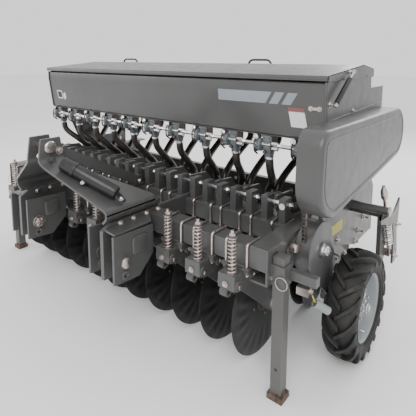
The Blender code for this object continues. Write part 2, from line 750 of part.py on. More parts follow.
# -------------------------------------------------------------------- the hopper
def hopper():
    inside = HOPPER_HALF - GAP
    front = folded_sheet([(HOPPER_FRONT_Y + 0.024, HOPPER_TOP_Z), (HOPPER_FRONT_Y, HOPPER_TOP_Z - 0.004),
                          (HOPPER_FRONT_Y, HOPPER_SHOULDER_Z), (HOPPER_TOE_Y, HOPPER_FLOOR_Z + GAP)],
                         -inside, inside, SHEET)
    part("hopper_front_panel", front, paint())
    back = folded_sheet([(HOPPER_TOE_Y + 0.002, HOPPER_FLOOR_Z), (STEP_TOE_Y, HOPPER_FLOOR_Z),
                         (STEP_BACK_Y, STEP_BOTTOM_Z), (STEP_BACK_Y, STEP_TOP_Z),
                         (HOPPER_BACK_Y, STEP_TOP_Z), (HOPPER_BACK_Y, HOPPER_TOP_Z)],
                        -inside, inside, -SHEET)
    part("hopper_floor_and_back", back, paint())
    edge = 0.006
    seat = LID_HINGE_Y + 0.020
    rear = HOPPER_BACK_Y + edge
    front_edge = HOPPER_FRONT_Y - edge
    below = HOPPER_FLOOR_Z - 0.001
    outline = [(rear, lid_underside(rear)), (LID_RIDGE_Y, lid_underside(LID_RIDGE_Y)),
               (seat, lid_underside(seat)), (seat, HOPPER_TOP_Z), (front_edge, HOPPER_TOP_Z),
               (front_edge, HOPPER_SHOULDER_Z), (HOPPER_TOE_Y - edge, below), (STEP_TOE_Y, below),
               (STEP_BACK_Y + edge, STEP_BOTTOM_Z - 0.004), (STEP_BACK_Y + edge, STEP_TOP_Z + edge),
               (rear, STEP_TOP_Z + edge)]
    part("hopper_end_right", plate(outline, HOPPER_HALF, HOPPER_HALF + END_SHEET), paint())
    part("hopper_end_left", plate(outline, -HOPPER_HALF - END_SHEET, -HOPPER_HALF), paint())
    for name, side in (("left", -1), ("right", 1)):
        part("hopper_leg_" + name, hopper_leg(side), paint())


def hopper_leg(side):
    """Plate from a side rail up to the hopper's floor, with a window cut in it."""
    low, high = sorted((side * HOPPER_LEG_X, side * (HOPPER_LEG_X + LEG_SHEET)))
    top = HOPPER_FLOOR_Z - SHEET - GAP
    foot = RAIL_TOP + GAP
    leg = plate([(0.560, foot), (0.960, foot), (0.960, top), (0.440, top), (0.440, top - 0.060)], low, high)
    sill = RAIL_TOP + 0.085
    head = top - 0.080
    hole = plate([(0.690, sill), (0.890, sill), (0.890, head), (0.690, head)], low - 0.01, high + 0.01)
    return cut(leg, hole)


def lid_underside(y):
    """Height just below the lid sheet at one distance from the front."""
    if y < LID_RIDGE_Y:
        rise = (LID_RIDGE_Z - LID_FRONT_Z) / (LID_RIDGE_Y - LID_FRONT_Y)
        top = LID_FRONT_Z + (y - LID_FRONT_Y) * rise
    else:
        top = LID_RIDGE_Z + (y - LID_RIDGE_Y) * (LID_BACK_Z - LID_RIDGE_Z) / (LID_BACK_Y - LID_RIDGE_Y)
    return top - LID_SHEET * 1.05 - GAP


def lid():
    profile = [(LID_FRONT_Y, LID_LIP_Z), (LID_FRONT_Y, LID_FRONT_Z), (LID_RIDGE_Y, LID_RIDGE_Z),
               (LID_BACK_Y, LID_BACK_Z), (LID_BACK_Y, LID_LIP_Z)]
    top = folded_sheet(profile, -LID_HALF, LID_HALF, -LID_SHEET)
    right = plate(profile, LID_HALF - LID_SHEET, LID_HALF)
    left = plate(profile, -LID_HALF, -LID_HALF + LID_SHEET)
    stud = rod((LID_HALF - 0.002, *STRUT_HIGH), (STRUT_X - 0.008 - GAP, *STRUT_HIGH), STRUT_STUD, sides=8)
    handles = [lid_handle(-HANDLE_X), lid_handle(HANDLE_X - HANDLE_SHIFT)]
    part("hopper_lid", union(top, right, left, stud, *handles), paint(), (0, LID_HINGE_Y, LID_HINGE_Z))


def lid_handle(x):
    """Bent rod handle; its ends reach into the lid sheet."""
    y, foot = LID_BACK_Y - 0.022, LID_BACK_Z - 0.002
    top, knee = LID_BACK_Z + 0.006 + HANDLE_RISE, HANDLE_HALF - 0.022
    points = [(x - HANDLE_HALF, y, foot), (x - knee, y, top), (x + knee, y, top), (x + HANDLE_HALF, y, foot)]
    return tube(points, HANDLE_RADIUS)


def gas_strut():
    low = Vector((STRUT_X, *STRUT_LOW))
    high = Vector((STRUT_X, *STRUT_HIGH))
    along = (high - low).normalized()
    barrel = rod(low + along * 0.012, high - along * 0.050, STRUT_BARREL, sides=14)
    stud = rod((HOPPER_HALF + END_SHEET + GAP, *STRUT_LOW), (STRUT_X + 0.008, *STRUT_LOW), 0.006, sides=10)
    eye = rod(low - along * 0.008, low + along * 0.016, 0.006, sides=10)
    bore = rod(low + along * 0.030, high, STRUT_BORE, sides=10)
    part("strut_barrel", cut(union(barrel, stud, eye), bore), black_plastic(), low)
    slider = rod(low + along * 0.034, high - along * 0.006, STRUT_ROD, sides=10)
    knob = rod(high - along * 0.012, high + along * 0.008, 0.008, sides=10)
    part("strut_rod", union(slider, knob), zinc(), high)


# ------------------------------------------------------------ metering and hoses
def smooth(points, count):
    """Points on a smooth Catmull-Rom curve through the given points."""
    path = [points[0]] + list(points) + [points[-1]]
    path = [Vector(p) for p in path]
    result = []
    spans = len(points) - 1
    for i in range(count + 1):
        place = min(i * spans / count, spans - 1e-9)
        k = int(place)
        t = place - k
        a, b, c, d = path[k:k + 4]
        result.append(0.5 * ((2 * b) + (c - a) * t + (2 * a - 5 * b + 4 * c - d) * t * t
                             + (3 * b - a - 3 * c + d) * t ** 3))
    return result


def seed_cup(x):
    top = HOPPER_FLOOR_Z - SHEET - GAP
    body = box((x - CUP_HALF, CUP_Y - 0.030, top - 0.090), (x + CUP_HALF, CUP_Y + 0.034, top))
    spout = rod((x, CUP_Y, top - 0.085), (x, CUP_Y + 0.004, top - 0.118), 0.020, 0.017, sides=8)
    coupling = rod((x + 0.020, SHAFT_Y, SHAFT_Z), (x + 0.062, SHAFT_Y, SHAFT_Z), 0.017, sides=8)
    return [body, spout, coupling]


def front_hose(row):
    """Seed hose from a cup down to its opener; the points are the run of its middle."""
    cx, rx = cup_x(row), row_x(row)
    points = [(cx, CUP_Y + 0.003, 0.846), (cx * 0.96 + rx * 0.04, CUP_Y + 0.020, 0.780),
              ((cx + rx) / 2 + 0.010, 0.470, 0.700), (rx - 0.026, 0.570, 0.610), (rx - 0.026, 0.600, 0.530)]
    return tube(smooth(points, 6), HOSE_RADIUS)


def seed_cups():
    shaft = rod((cup_x(0) - 0.050, SHAFT_Y, SHAFT_Z), (HOPPER_HALF + 0.002, SHAFT_Y, SHAFT_Z), SHAFT_RADIUS,
                sides=8)
    pieces = []
    for row in range(ROWS):
        pieces += seed_cup(cup_x(row)) + [front_hose(row)]
    part("seed_cup_row", union(shaft, *pieces), material("cup_grey", CUP_GREY, 0.4, 0.3))


def rear_meters():
    top = HOPPER_FLOOR_Z - SHEET - GAP
    reach = METER_HALF + 0.002
    axis = (REAR_METER_Y, top - 0.040)
    shaft = rod((cup_x(0) - reach, *axis), (cup_x(ROWS - 1) + reach, *axis), SHAFT_RADIUS - 0.0005, sides=8)
    pieces = []
    for row in range(ROWS):
        cx, rx = cup_x(row), row_x(row)
        pieces.append(box((cx - METER_HALF, REAR_METER_Y - 0.035, top - 0.075),
                          (cx + METER_HALF, REAR_METER_Y + 0.035, top)))
        points = [(cx, REAR_METER_Y, top - 0.070), (cx, REAR_METER_Y - 0.010, 0.820),
                  ((cx + rx) / 2, 0.680, 0.730), (rx + 0.034, 0.560, 0.650), (rx + 0.034, 0.540, 0.560)]
        pieces.append(tube(smooth(points, 6), HOSE_RADIUS))
    part("rear_meter_row", union(shaft, *pieces), black_plastic())


# ------------------------------------------------------------------- drive train
def shrink(circles, by):
    return [(y, z, radius - by) for y, z, radius in circles]


def chain_guards():
    shell = plate(around(UPPER_GUARD), GUARD_X, GUARD_X + GUARD_DEPTH)
    inside = around(shrink(UPPER_GUARD, GUARD_WALL))
    pocket = plate(inside, GUARD_X - 0.01, GUARD_X + GUARD_DEPTH - GUARD_WALL)
    part("upper_chain_guard", cut(shell, pocket), paint())
    axis = (LOW_GUARD_Y, LOW_GUARD_Z)
    face = plate(around([(*axis, LOW_GUARD_RADIUS), LOW_GUARD_TAIL]), LOW_GUARD_FACE - 0.008, LOW_GUARD_FACE)
    drum = plate(arc(*axis, LOW_GUARD_RADIUS - 0.004, 0, 345, 23), DRIVE_PLATE_OUT + GAP,
                 LOW_GUARD_FACE - 0.004)
    hub = rod((LOW_GUARD_FACE - 0.003, *axis), (LOW_GUARD_FACE + 0.018, *axis), 0.017, sides=6)
    part("lower_chain_guard", union(face, drum, hub), paint())


def drive_plate():
    outline = [(0.130, 0.475), (0.130, 0.560), (0.360, 0.640), (0.500, 0.690), (1.080, 0.690), (1.180, 0.560),
               (1.180, 0.300), (0.900, 0.300), (0.620, 0.400), (0.400, 0.470)]
    part("drive_side_plate", plate(outline, DRIVE_PLATE_IN, DRIVE_PLATE_OUT), paint())
    seat = RAIL_BOTTOM + RAIL_WALL
    beam = box((-RAIL_INNER + GAP, 0.900, seat + GAP), (RAIL_INNER - GAP, 0.935, seat + 0.090))
    part("rear_cross_beam", beam, paint())


def wheel_arm():
    """Swing arm of the drive wheel, with its axle, cross tube and spring post."""
    axle = (TYRE_Y, TYRE_RADIUS)
    inside, outside = ARM_X + 0.002, POST_X + POST_THICK / 2
    blade = plate(around([(*axle, 0.034), (*ARM_KNEE, 0.034)], 16), ARM_X, ARM_X + ARM_THICK)
    axle = rod((inside, *axle), (TYRE_X + 0.040, *axle), AXLE_RADIUS, sides=14)
    cross = rod((inside, *ARM_KNEE), (outside, *ARM_KNEE), 0.022, sides=12)
    post = plate([(0.800, 0.275), (0.850, 0.250), (0.880, 0.300), (0.850, 0.560), (0.790, 0.560)],
                 POST_X, POST_X + POST_THICK)
    pivot = rod((DRIVE_PLATE_OUT + GAP, *ARM_PIVOT), (outside, *ARM_PIVOT), 0.018, sides=12)
    return union(blade, axle, cross, post, pivot)


def wheel_spring():
    """Rod of the down-pressure spring, with the lug that stands it beside the post."""
    lug_x = POST_X + POST_THICK + GAP
    x = lug_x + 0.0147
    foot, head = Vector((x, *SPRING_FOOT)), Vector((x, *SPRING_HEAD))
    along = (head - foot).normalized()
    spring_rod = rod(foot, head, 0.008, sides=10)
    tip = rod(head - along * 0.045, head, 0.016, 0.002, sides=12)
    lug = box((lug_x, 0.850, 0.310), (x + 0.015, 0.925, 0.350))
    return union(spring_rod, tip, lug)


def drive_wheel():
    half = TYRE_WIDTH / 2
    centre = (TYRE_X, TYRE_Y, TYRE_RADIUS)
    side = [(RIM_RADIUS + GAP, half - 0.030), (RIM_RADIUS + 0.020, half - 0.006), (TYRE_RADIUS - 0.040, half),
            (TYRE_RADIUS - 0.014, half - 0.006), (TYRE_RADIUS - 0.002, half - 0.022)]
    profile = side + [(TYRE_RADIUS, 0.0)] + [(radius, -along) for radius, along in reversed(side)]
    tyre = turned(profile, *centre, WHEEL_STEPS)
    part("drive_wheel_tyre", tyre, material("tyre_rubber", RUBBER, 0.85, 0.0), centre)
    bore = AXLE_RADIUS + AXLE_GAP
    seat = half - 0.031
    profile = [(RIM_RADIUS, seat), (RIM_RADIUS, -seat), (RIM_RADIUS - 0.006, -seat),
               (RIM_RADIUS - 0.012, -0.006), (0.045, 0.002), (0.030, -0.030), (bore, -0.030), (bore, 0.034),
               (0.028, 0.034), (0.045, 0.012), (RIM_RADIUS - 0.014, 0.006), (RIM_RADIUS - 0.006, seat)]
    rim = turned(profile, *centre, WHEEL_STEPS)
    part("drive_wheel_rim", rim, material("rim_paint", RIM_GREY, 0.4, 0.1), centre)


def coulter_discs():
    bore = AXLE_RADIUS + AXLE_GAP
    half = COULTER_THICK / 2
    profile = [(COULTER_RADIUS, 0.001), (COULTER_RADIUS, -0.001), (bore, -half), (bore, half)]
    for row in range(ROWS):
        x = row_x(row) + COULTER_SHIFT
        place = (x, COULTER_Y, COULTER_RADIUS + DISC_LIFT)
        disc = turned(profile, *place, 22)
        part("coulter_disc_%02d" % (row + 1), disc, disc_steel(), place)


def press_wheels():
    half = PRESS_WIDTH / 2
    bore = PRESS_AXLE + AXLE_GAP
    profile = [(PRESS_RADIUS, half - 0.014), (PRESS_RADIUS, -half + 0.014), (PRESS_RADIUS - 0.018, -half),
               (bore, -0.020), (bore, 0.020), (PRESS_RADIUS - 0.018, half)]
    for row in range(ROWS):
        place = (row_x(row), PRESS_Y, PRESS_RADIUS)
        wheel = turned(profile, *place, 16)
        part("press_wheel_%02d" % (row + 1), wheel, material("tyre_rubber", RUBBER, 0.85, 0.0), place)


def centre_on_floor():
    """Move the machine so that the middle of its box, at floor level, is the origin."""
    bpy.context.view_layer.update()
    corners = []
    for item in PARTS.objects:
        if item.type == "MESH":
            corners += [item.matrix_world @ Vector(corner) for corner in item.bound_box]
    low = [min(corner[axis] for corner in corners) for axis in range(3)]
    high = [max(corner[axis] for corner in corners) for axis in range(3)]
    MACHINE.location = (-(low[0] + high[0]) / 2, -(low[1] + high[1]) / 2, -low[2])


def main():
    front_toolbars()
    rear_toolbars()
    side_rails()
    stands()
    hitch()
    backstay()
    manual_holder()
    hopper()
    lid()
    gas_strut()
    seed_cups()
    rear_meters()
    chain_guards()
    drive_plate()
    part("drive_wheel_arm", wheel_arm(), paint())
    part("wheel_spring_rod", wheel_spring(), zinc())
    drive_wheel()
    coulter_discs()
    press_wheels()
    centre_on_floor()


main()
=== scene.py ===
"""Looks of the three-point no-till seed drill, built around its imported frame.

Sizes are in metres in the drill's own coordinates: X along the drill, Y rearward from the
front face of the front toolbar, Z from the ground.  OFFSET takes them to the row frame.
"""
import math

import bmesh
import bpy
from mathutils import Matrix, Vector


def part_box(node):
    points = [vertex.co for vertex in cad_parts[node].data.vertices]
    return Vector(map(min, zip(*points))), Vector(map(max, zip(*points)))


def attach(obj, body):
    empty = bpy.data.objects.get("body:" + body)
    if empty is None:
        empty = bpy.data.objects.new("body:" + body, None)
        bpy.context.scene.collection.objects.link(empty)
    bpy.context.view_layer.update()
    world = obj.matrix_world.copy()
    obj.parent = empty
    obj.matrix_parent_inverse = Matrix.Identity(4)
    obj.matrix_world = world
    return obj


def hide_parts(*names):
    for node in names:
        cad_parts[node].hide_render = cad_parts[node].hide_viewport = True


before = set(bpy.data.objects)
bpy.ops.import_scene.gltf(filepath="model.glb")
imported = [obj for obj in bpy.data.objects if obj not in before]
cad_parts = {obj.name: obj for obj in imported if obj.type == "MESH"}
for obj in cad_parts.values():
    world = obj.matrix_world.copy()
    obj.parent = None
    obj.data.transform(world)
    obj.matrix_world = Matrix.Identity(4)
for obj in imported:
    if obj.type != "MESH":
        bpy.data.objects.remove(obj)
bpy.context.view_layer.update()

# ------------------------------------------------------------- places from the frame
ROW_PITCH = 0.166
CUP_PITCH = 0.1865
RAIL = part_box("side_rail_right")
DISC_SHIFT = 0.020      # the discs stand this far left of their rows
RAIL_NOSE = 0.004       # the side rails reach this far ahead of the toolbar
BAR_MIDDLE_X = (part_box("coulter_disc_01")[0].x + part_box("coulter_disc_11")[1].x) / 2 + DISC_SHIFT
BAR_FRONT_Y = RAIL[0].y + RAIL_NOSE
OFFSET = Vector((BAR_MIDDLE_X, BAR_FRONT_Y, 0.0))

ROWS = 11
BAR = 0.080
BAR_TOP = 0.596
REAR_BAR_Y = 0.250
BEAM_X = 0.339
HITCH_SPREAD = 0.080
PIN = (-0.204, 0.462)
SPARE_Z = 0.408
MAST_PIN = (-0.297, 0.907)
MAST_WALL = 0.010
COULTER = (0.245, 0.242)
COULTER_RADIUS = 0.240
COULTER_SHIFT = -DISC_SHIFT
OPENER = (0.700, 0.180)
OPENER_RADIUS = 0.1785
OPENER_SPLAY = 0.0205
OPENER_TOE = 4.0
PRESS = (1.055, 0.155)
PRESS_RADIUS = 0.155
TYRE = Vector((1.137, 0.480, 0.232))
HOPPER_HALF = 1.0197
SHAFT = (0.356, 0.905)
CUP_Y = 0.378
CUP_TOP = 0.9457
HOSE_RADIUS = 0.0180
REAR_METER_Y = 0.800
LID_HALF = 1.033
STRUT_LOW = Vector((1.050, 0.372, 1.105))
STRUT_HIGH = Vector((1.050, 0.560, 1.232))
PLATE_FACE = 0.9804     # outer face of the drive side plate
GUARD_X = 1.0256
GUARD_DEPTH = 0.098


def row_x(row):
    return (row - (ROWS - 1) / 2) * ROW_PITCH


def cup_x(row):
    return (row - (ROWS - 1) / 2) * CUP_PITCH


def is_beam_row(row):
    return abs(abs(row_x(row)) - BEAM_X) < 0.020


FREE_ROWS = [row for row in range(ROWS) if not is_beam_row(row)]


# ------------------------------------------------------------------------ materials
class Look:
    """A Principled material with short helpers for the nodes that feed it."""

    def __init__(self, name):
        self.material = bpy.data.materials.new(name)
        self.material.use_nodes = True
        self.tree = self.material.node_tree
        self.shader = self.tree.nodes["Principled BSDF"]
        self.coords = self.node("ShaderNodeTexCoord").outputs["Object"]

    def node(self, kind, **settings):
        made = self.tree.nodes.new(kind)
        for key, value in settings.items():
            setattr(made, key, value)
        return made

    def link(self, source, target):
        self.tree.links.new(source, target)

    def set(self, **values):
        for key, value in values.items():
            self.shader.inputs[key.replace("_", " ")].default_value = value

    def noise(self, scale, detail=3.0, roughness=0.55, stretch=None):
        made = self.node("ShaderNodeTexNoise")
        made.inputs["Scale"].default_value = scale
        made.inputs["Detail"].default_value = detail
        made.inputs["Roughness"].default_value = roughness
        if stretch:
            mapping = self.node("ShaderNodeMapping")
            mapping.inputs["Scale"].default_value = stretch
            self.link(self.coords, mapping.inputs["Vector"])
            self.link(mapping.outputs["Vector"], made.inputs["Vector"])
        else:
            self.link(self.coords, made.inputs["Vector"])
        return made.outputs["Fac"]

    def ramp(self, source, low, high, low_value=0.0, high_value=1.0):
        made = self.node("ShaderNodeMapRange")
        made.inputs["From Min"].default_value = low
        made.inputs["From Max"].default_value = high
        made.inputs["To Min"].default_value = low_value
        made.inputs["To Max"].default_value = high_value
        self.link(source, made.inputs["Value"])
        return made.outputs["Result"]

    def math(self, operation, first, second=None):
        made = self.node("ShaderNodeMath", operation=operation)
        for slot, value in zip(made.inputs, (first, second)):
            if value is None:
                continue
            if isinstance(value, (int, float)):
                slot.default_value = value
            else:
                self.link(value, slot)
        return made.outputs["Value"]

    def mix(self, factor, first, second):
        made = self.node("ShaderNodeMix", data_type="RGBA")
        self.link(factor, made.inputs["Factor"])
        for slot, value in ((made.inputs[6], first), (made.inputs[7], second)):
            if isinstance(value, tuple):
                slot.default_value = (*value, 1.0)
            else:
                self.link(value, slot)
        return made.outputs[2]

    def bevel(self, radius):
        made = self.node("ShaderNodeBevel", samples=4)
        made.inputs["Radius"].default_value = radius
        return made.outputs["Normal"]

    def bump(self, height, strength, distance, normal=None):
        made = self.node("ShaderNodeBump")
        made.inputs["Strength"].default_value = strength
        made.inputs["Distance"].default_value = distance
        self.link(height, made.inputs["Height"])
        if normal is not None:
            self.link(normal, made.inputs["Normal"])
        return made.outputs["Normal"]

    def edge_mask(self, rounded, low, high):
        """Where the rounded normal leaves the true one: the piece's edges."""
        geometry = self.node("ShaderNodeNewGeometry")
        dot = self.node("ShaderNodeVectorMath", operation="DOT_PRODUCT")
        self.link(rounded, dot.inputs[0])
        self.link(geometry.outputs["Normal"], dot.inputs[1])
        return self.ramp(dot.outputs["Value"], high, low)

    def up_mask(self, low, high):
        geometry = self.node("ShaderNodeNewGeometry")
        split = self.node("ShaderNodeSeparateXYZ")
        self.link(geometry.outputs["Normal"], split.inputs[0])
        return self.ramp(split.outputs["Z"], low, high)

    def height(self, low, high):
        split = self.node("ShaderNodeSeparateXYZ")
        self.link(self.coords, split.inputs[0])
        return self.ramp(split.outputs["Z"], low, high)

    def finish(self, colour=None, roughness=None, normal=None):
        for name, value in (("Base Color", colour), ("Roughness", roughness), ("Normal", normal)):
            if value is not None:
                self.link(value, self.shader.inputs[name])
        return self.material


def painted(name, colour, edge=1.7, gloss=0.36, rounding=0.0028, dust=0.35):
    """Powder coat: mottled, faintly pebbled, dusty on top, lighter along edges: partly edge wear, partly a
    painted highlight.
    """
    look = Look(name)
    dark = tuple(c * 0.86 for c in colour)
    light = tuple(c * 1.10 for c in colour)
    # lighter edge colour: partly edge wear, partly a painted highlight along the rounded edges
    edge_wear_and_highlight = tuple(min(c * edge + 0.012, 1.0) for c in colour)
    base = look.mix(look.ramp(look.noise(2.2, 5.0), 0.35, 0.68), dark, light)
    fine = look.noise(38.0, 4.0, 0.7)
    base = look.mix(look.ramp(fine, 0.40, 0.75, 0.0, 0.30), base, dark)
    rounded = look.bevel(rounding)
    edges = look.math("MULTIPLY", look.edge_mask(rounded, 0.86, 0.995), look.ramp(look.noise(24.0, 3.0), 0.30,
            0.62, 0.35, 1.0))
    base = look.mix(edges, base, edge_wear_and_highlight)
    settled = look.math("MULTIPLY", look.up_mask(0.55, 1.0), look.ramp(look.noise(11.0, 5.0), 0.45, 0.75, 0.0,
            dust))
    base = look.mix(settled, base, (0.095, 0.090, 0.086))
    rough = look.ramp(look.noise(17.0, 4.0), 0.30, 0.75, gloss - 0.05, gloss + 0.10)
    normal = look.bump(look.noise(620.0, 1.0), 0.10, 0.0004, rounded)
    look.set(Coat_Weight=0.22, Coat_Roughness=0.16, Specular_IOR_Level=0.5)
    return look.finish(base, rough, normal)


def stand_paint():
    """Grey paint that has scraped off and rusted at the foot."""
    look = Look("stand_paint")
    grey = look.mix(look.ramp(look.noise(3.0, 5.0), 0.35, 0.68), (0.070, 0.068, 0.067), (0.092, 0.090, 0.088))
    rust = look.mix(look.ramp(look.noise(60.0, 6.0, 0.7), 0.35, 0.65), (0.040, 0.019, 0.011),
                    (0.130, 0.074, 0.044))
    low = look.height(0.075, 0.012)
    patch = look.math("MULTIPLY", look.ramp(low, 0.0, 1.0, 0.55, 1.6), look.noise(42.0, 6.0, 0.65))
    bare = look.math("MULTIPLY", look.ramp(patch, 0.60, 0.72), look.ramp(low, 0.0, 0.12))
    rounded = look.bevel(0.003)
    # lighter edges: partly edge wear, partly a painted highlight along the rounded edges
    base = look.mix(look.edge_mask(rounded, 0.86, 0.995), grey, (0.150, 0.146, 0.142))
    normal = look.bump(look.noise(160.0, 4.0), 0.30, 0.0006, rounded)
    look.set(Coat_Weight=0.08, Specular_IOR_Level=0.45)
    return look.finish(look.mix(bare, base, rust), look.ramp(bare, 0.0, 1.0, 0.42, 0.85), normal)


def plated(name, colour, gloss=0.30, tarnish=0.5):
    """Zinc-plated or bright steel with a cloudy passivated film."""
    look = Look(name)
    dull = tuple(c * 0.55 for c in colour)
    base = look.mix(look.ramp(look.noise(70.0, 5.0, 0.65), 0.38, 0.72, 0.0, tarnish), colour, dull)
    rough = look.ramp(look.noise(120.0, 4.0), 0.30, 0.70, gloss - 0.06, gloss + 0.16)
    normal = look.bump(look.noise(420.0, 2.0), 0.15, 0.0003, look.bevel(0.0008))
    look.set(Metallic=1.0)
    return look.finish(base, rough, normal)


def disc_steel(name="disc_steel", scratch=0.35):
    """Dark heat-treated disc: bluish mill scale with fine rings turned into it."""
    look = Look(name)
    split = look.node("ShaderNodeSeparateXYZ")
    look.link(look.coords, split.inputs[0])
    radius = look.math("SQRT", look.math("ADD", look.math("MULTIPLY", split.outputs["Y"], split.outputs["Y"]),
                                         look.math("MULTIPLY", split.outputs["Z"], split.outputs["Z"])))
    rings = look.node("ShaderNodeTexNoise", noise_dimensions="1D")
    rings.inputs["Scale"].default_value = 900.0
    look.link(radius, rings.inputs["W"])
    cloud = look.noise(14.0, 6.0, 0.6)
    base = look.mix(look.ramp(cloud, 0.35, 0.70), (0.020, 0.0205, 0.021), (0.044, 0.045, 0.046))
    rubbed = look.math("MULTIPLY", look.ramp(radius, 0.150, 0.240), look.ramp(look.noise(55.0, 4.0), 0.50,
            0.72, 0.0, scratch))
    base = look.mix(rubbed, base, (0.095, 0.090, 0.085))
    rough = look.ramp(cloud, 0.30, 0.75, 0.30, 0.46)
    normal = look.bump(rings.outputs["Fac"], 0.08, 0.0004)
    look.set(Metallic=0.55, Specular_IOR_Level=0.5)
    return look.finish(base, rough, normal)


def rubber(name, dust=0.5, gloss=0.62, tint=(0.055, 0.046, 0.038)):
    look = Look(name)
    base = look.mix(look.ramp(look.noise(26.0, 5.0), 0.35, 0.70), (0.008, 0.008, 0.008),
                    (0.018, 0.018, 0.017))
    dusty = look.ramp(look.noise(9.0, 6.0, 0.7), 0.48, 0.74, 0.0, dust)
    base = look.mix(dusty, base, tint)
    rough = look.ramp(look.noise(48.0, 4.0), 0.30, 0.75, gloss - 0.08, gloss + 0.14)
    normal = look.bump(look.noise(260.0, 4.0), 0.25, 0.0005)
    look.set(Specular_IOR_Level=0.45)
    return look.finish(base, rough, normal)


def hose_rubber():
    look = Look("hose_rubber")
    base = look.mix(look.ramp(look.noise(30.0, 5.0), 0.35, 0.70), (0.016, 0.0125, 0.0105),
                    (0.042, 0.033, 0.027))
    rough = look.ramp(look.noise(40.0, 4.0), 0.30, 0.75, 0.28, 0.46)
    normal = look.bump(look.noise(340.0, 3.0), 0.18, 0.0004)
    look.set(Specular_IOR_Level=0.55)
    return look.finish(base, rough, normal)


def plastic(name, colour, gloss=0.32):
    look = Look(name)
    light = tuple(c * 1.8 + 0.002 for c in colour)
    base = look.mix(look.ramp(look.noise(22.0, 4.0), 0.40, 0.72), colour, light)
    rough = look.ramp(look.noise(64.0, 4.0), 0.30, 0.75, gloss - 0.05, gloss + 0.10)
    normal = look.bump(look.noise(900.0, 1.0), 0.12, 0.0002, look.bevel(0.0012))
    return look.finish(base, rough, normal)


def cast_iron(name, colour, gloss=0.45):
    """Sand-cast piece under paint: a coarse, soft grain."""
    look = Look(name)
    dark = tuple(c * 0.62 for c in colour)
    base = look.mix(look.ramp(look.noise(34.0, 6.0, 0.65), 0.36, 0.68), dark, colour)
    rounded = look.bevel(0.0022)
    # lighter edges: partly edge wear, partly a painted highlight along the rounded edges
    base = look.mix(look.edge_mask(rounded, 0.84, 0.995), base, tuple(c * 1.7 for c in colour))
    rough = look.ramp(look.noise(50.0, 4.0), 0.30, 0.75, gloss - 0.06, gloss + 0.14)
    normal = look.bump(look.noise(210.0, 5.0, 0.6), 0.35, 0.0009, rounded)
    return look.finish(base, rough, normal)


def printed(name, colour, dirt=0.25):
    """A blank sticker: satin film with a little handling dirt."""
    look = Look(name)
    soiled = tuple(c * 0.62 for c in colour)
    base = look.mix(look.ramp(look.noise(40.0, 5.0), 0.45, 0.75, 0.0, dirt), colour, soiled)
    rough = look.ramp(look.noise(25.0, 3.0), 0.30, 0.75, 0.34, 0.48)
    normal = look.bump(look.noise(120.0, 2.0), 0.06, 0.0003)
    return look.finish(base, rough, normal)


PAINT = painted("grey_paint", (0.064, 0.0640, 0.0635))
PAINT_SOFT = painted("grey_paint_fold", (0.064, 0.0640, 0.0635), rounding=0.0015)
SHADE = painted("shaded_paint", (0.048, 0.047, 0.046), edge=1.5)
STAND = stand_paint()
CAST = cast_iron("painted_casting", (0.078, 0.077, 0.075))
CUP = cast_iron("cup_casting", (0.125, 0.142, 0.152), 0.40)
# the pink cast of this zinc colour is painted light: the warm tint of lamp reflections put into the metal's
# colour
ZINC = plated("zinc_plate", (0.60, 0.53, 0.50))
BRIGHT = plated("bright_steel", (0.78, 0.77, 0.76), 0.22, 0.35)
DARK_STEEL = plated("dark_steel", (0.16, 0.14, 0.13), 0.40, 0.7)
DISC = disc_steel()
TREAD = rubber("tyre_rubber")
PRESS_RUBBER = rubber("press_rubber", 0.35, 0.55)
HOSE = hose_rubber()
BLACK = plastic("black_plastic", (0.010, 0.010, 0.011))
RIM = painted("rim_paint", (0.21, 0.235, 0.245), edge=1.25, gloss=0.34, dust=0.15)
SLATE = printed("stripe_slate", (0.24, 0.27, 0.31))
WHITE = printed("label_white", (0.68, 0.68, 0.70))
RED = printed("label_red", (0.22, 0.075, 0.070))
YELLOW = printed("label_yellow", (0.52, 0.45, 0.03))
# near-black print, also used as painted shade for the adjuster holes
INK_AND_HOLE_SHADE = printed("label_ink_and_hole_shade", (0.012, 0.012, 0.012))


# ----------------------------------------------------------------------- shape tools
def across(axis):
    """Two directions square to an axis."""
    axis = Vector(axis).normalized()
    side = axis.cross(Vector((0, 0, 1)))
    if side.length < 1e-4:
        side = axis.cross(Vector((0, 1, 0)))
    side.normalize()
    return side, axis.cross(side).normalized()


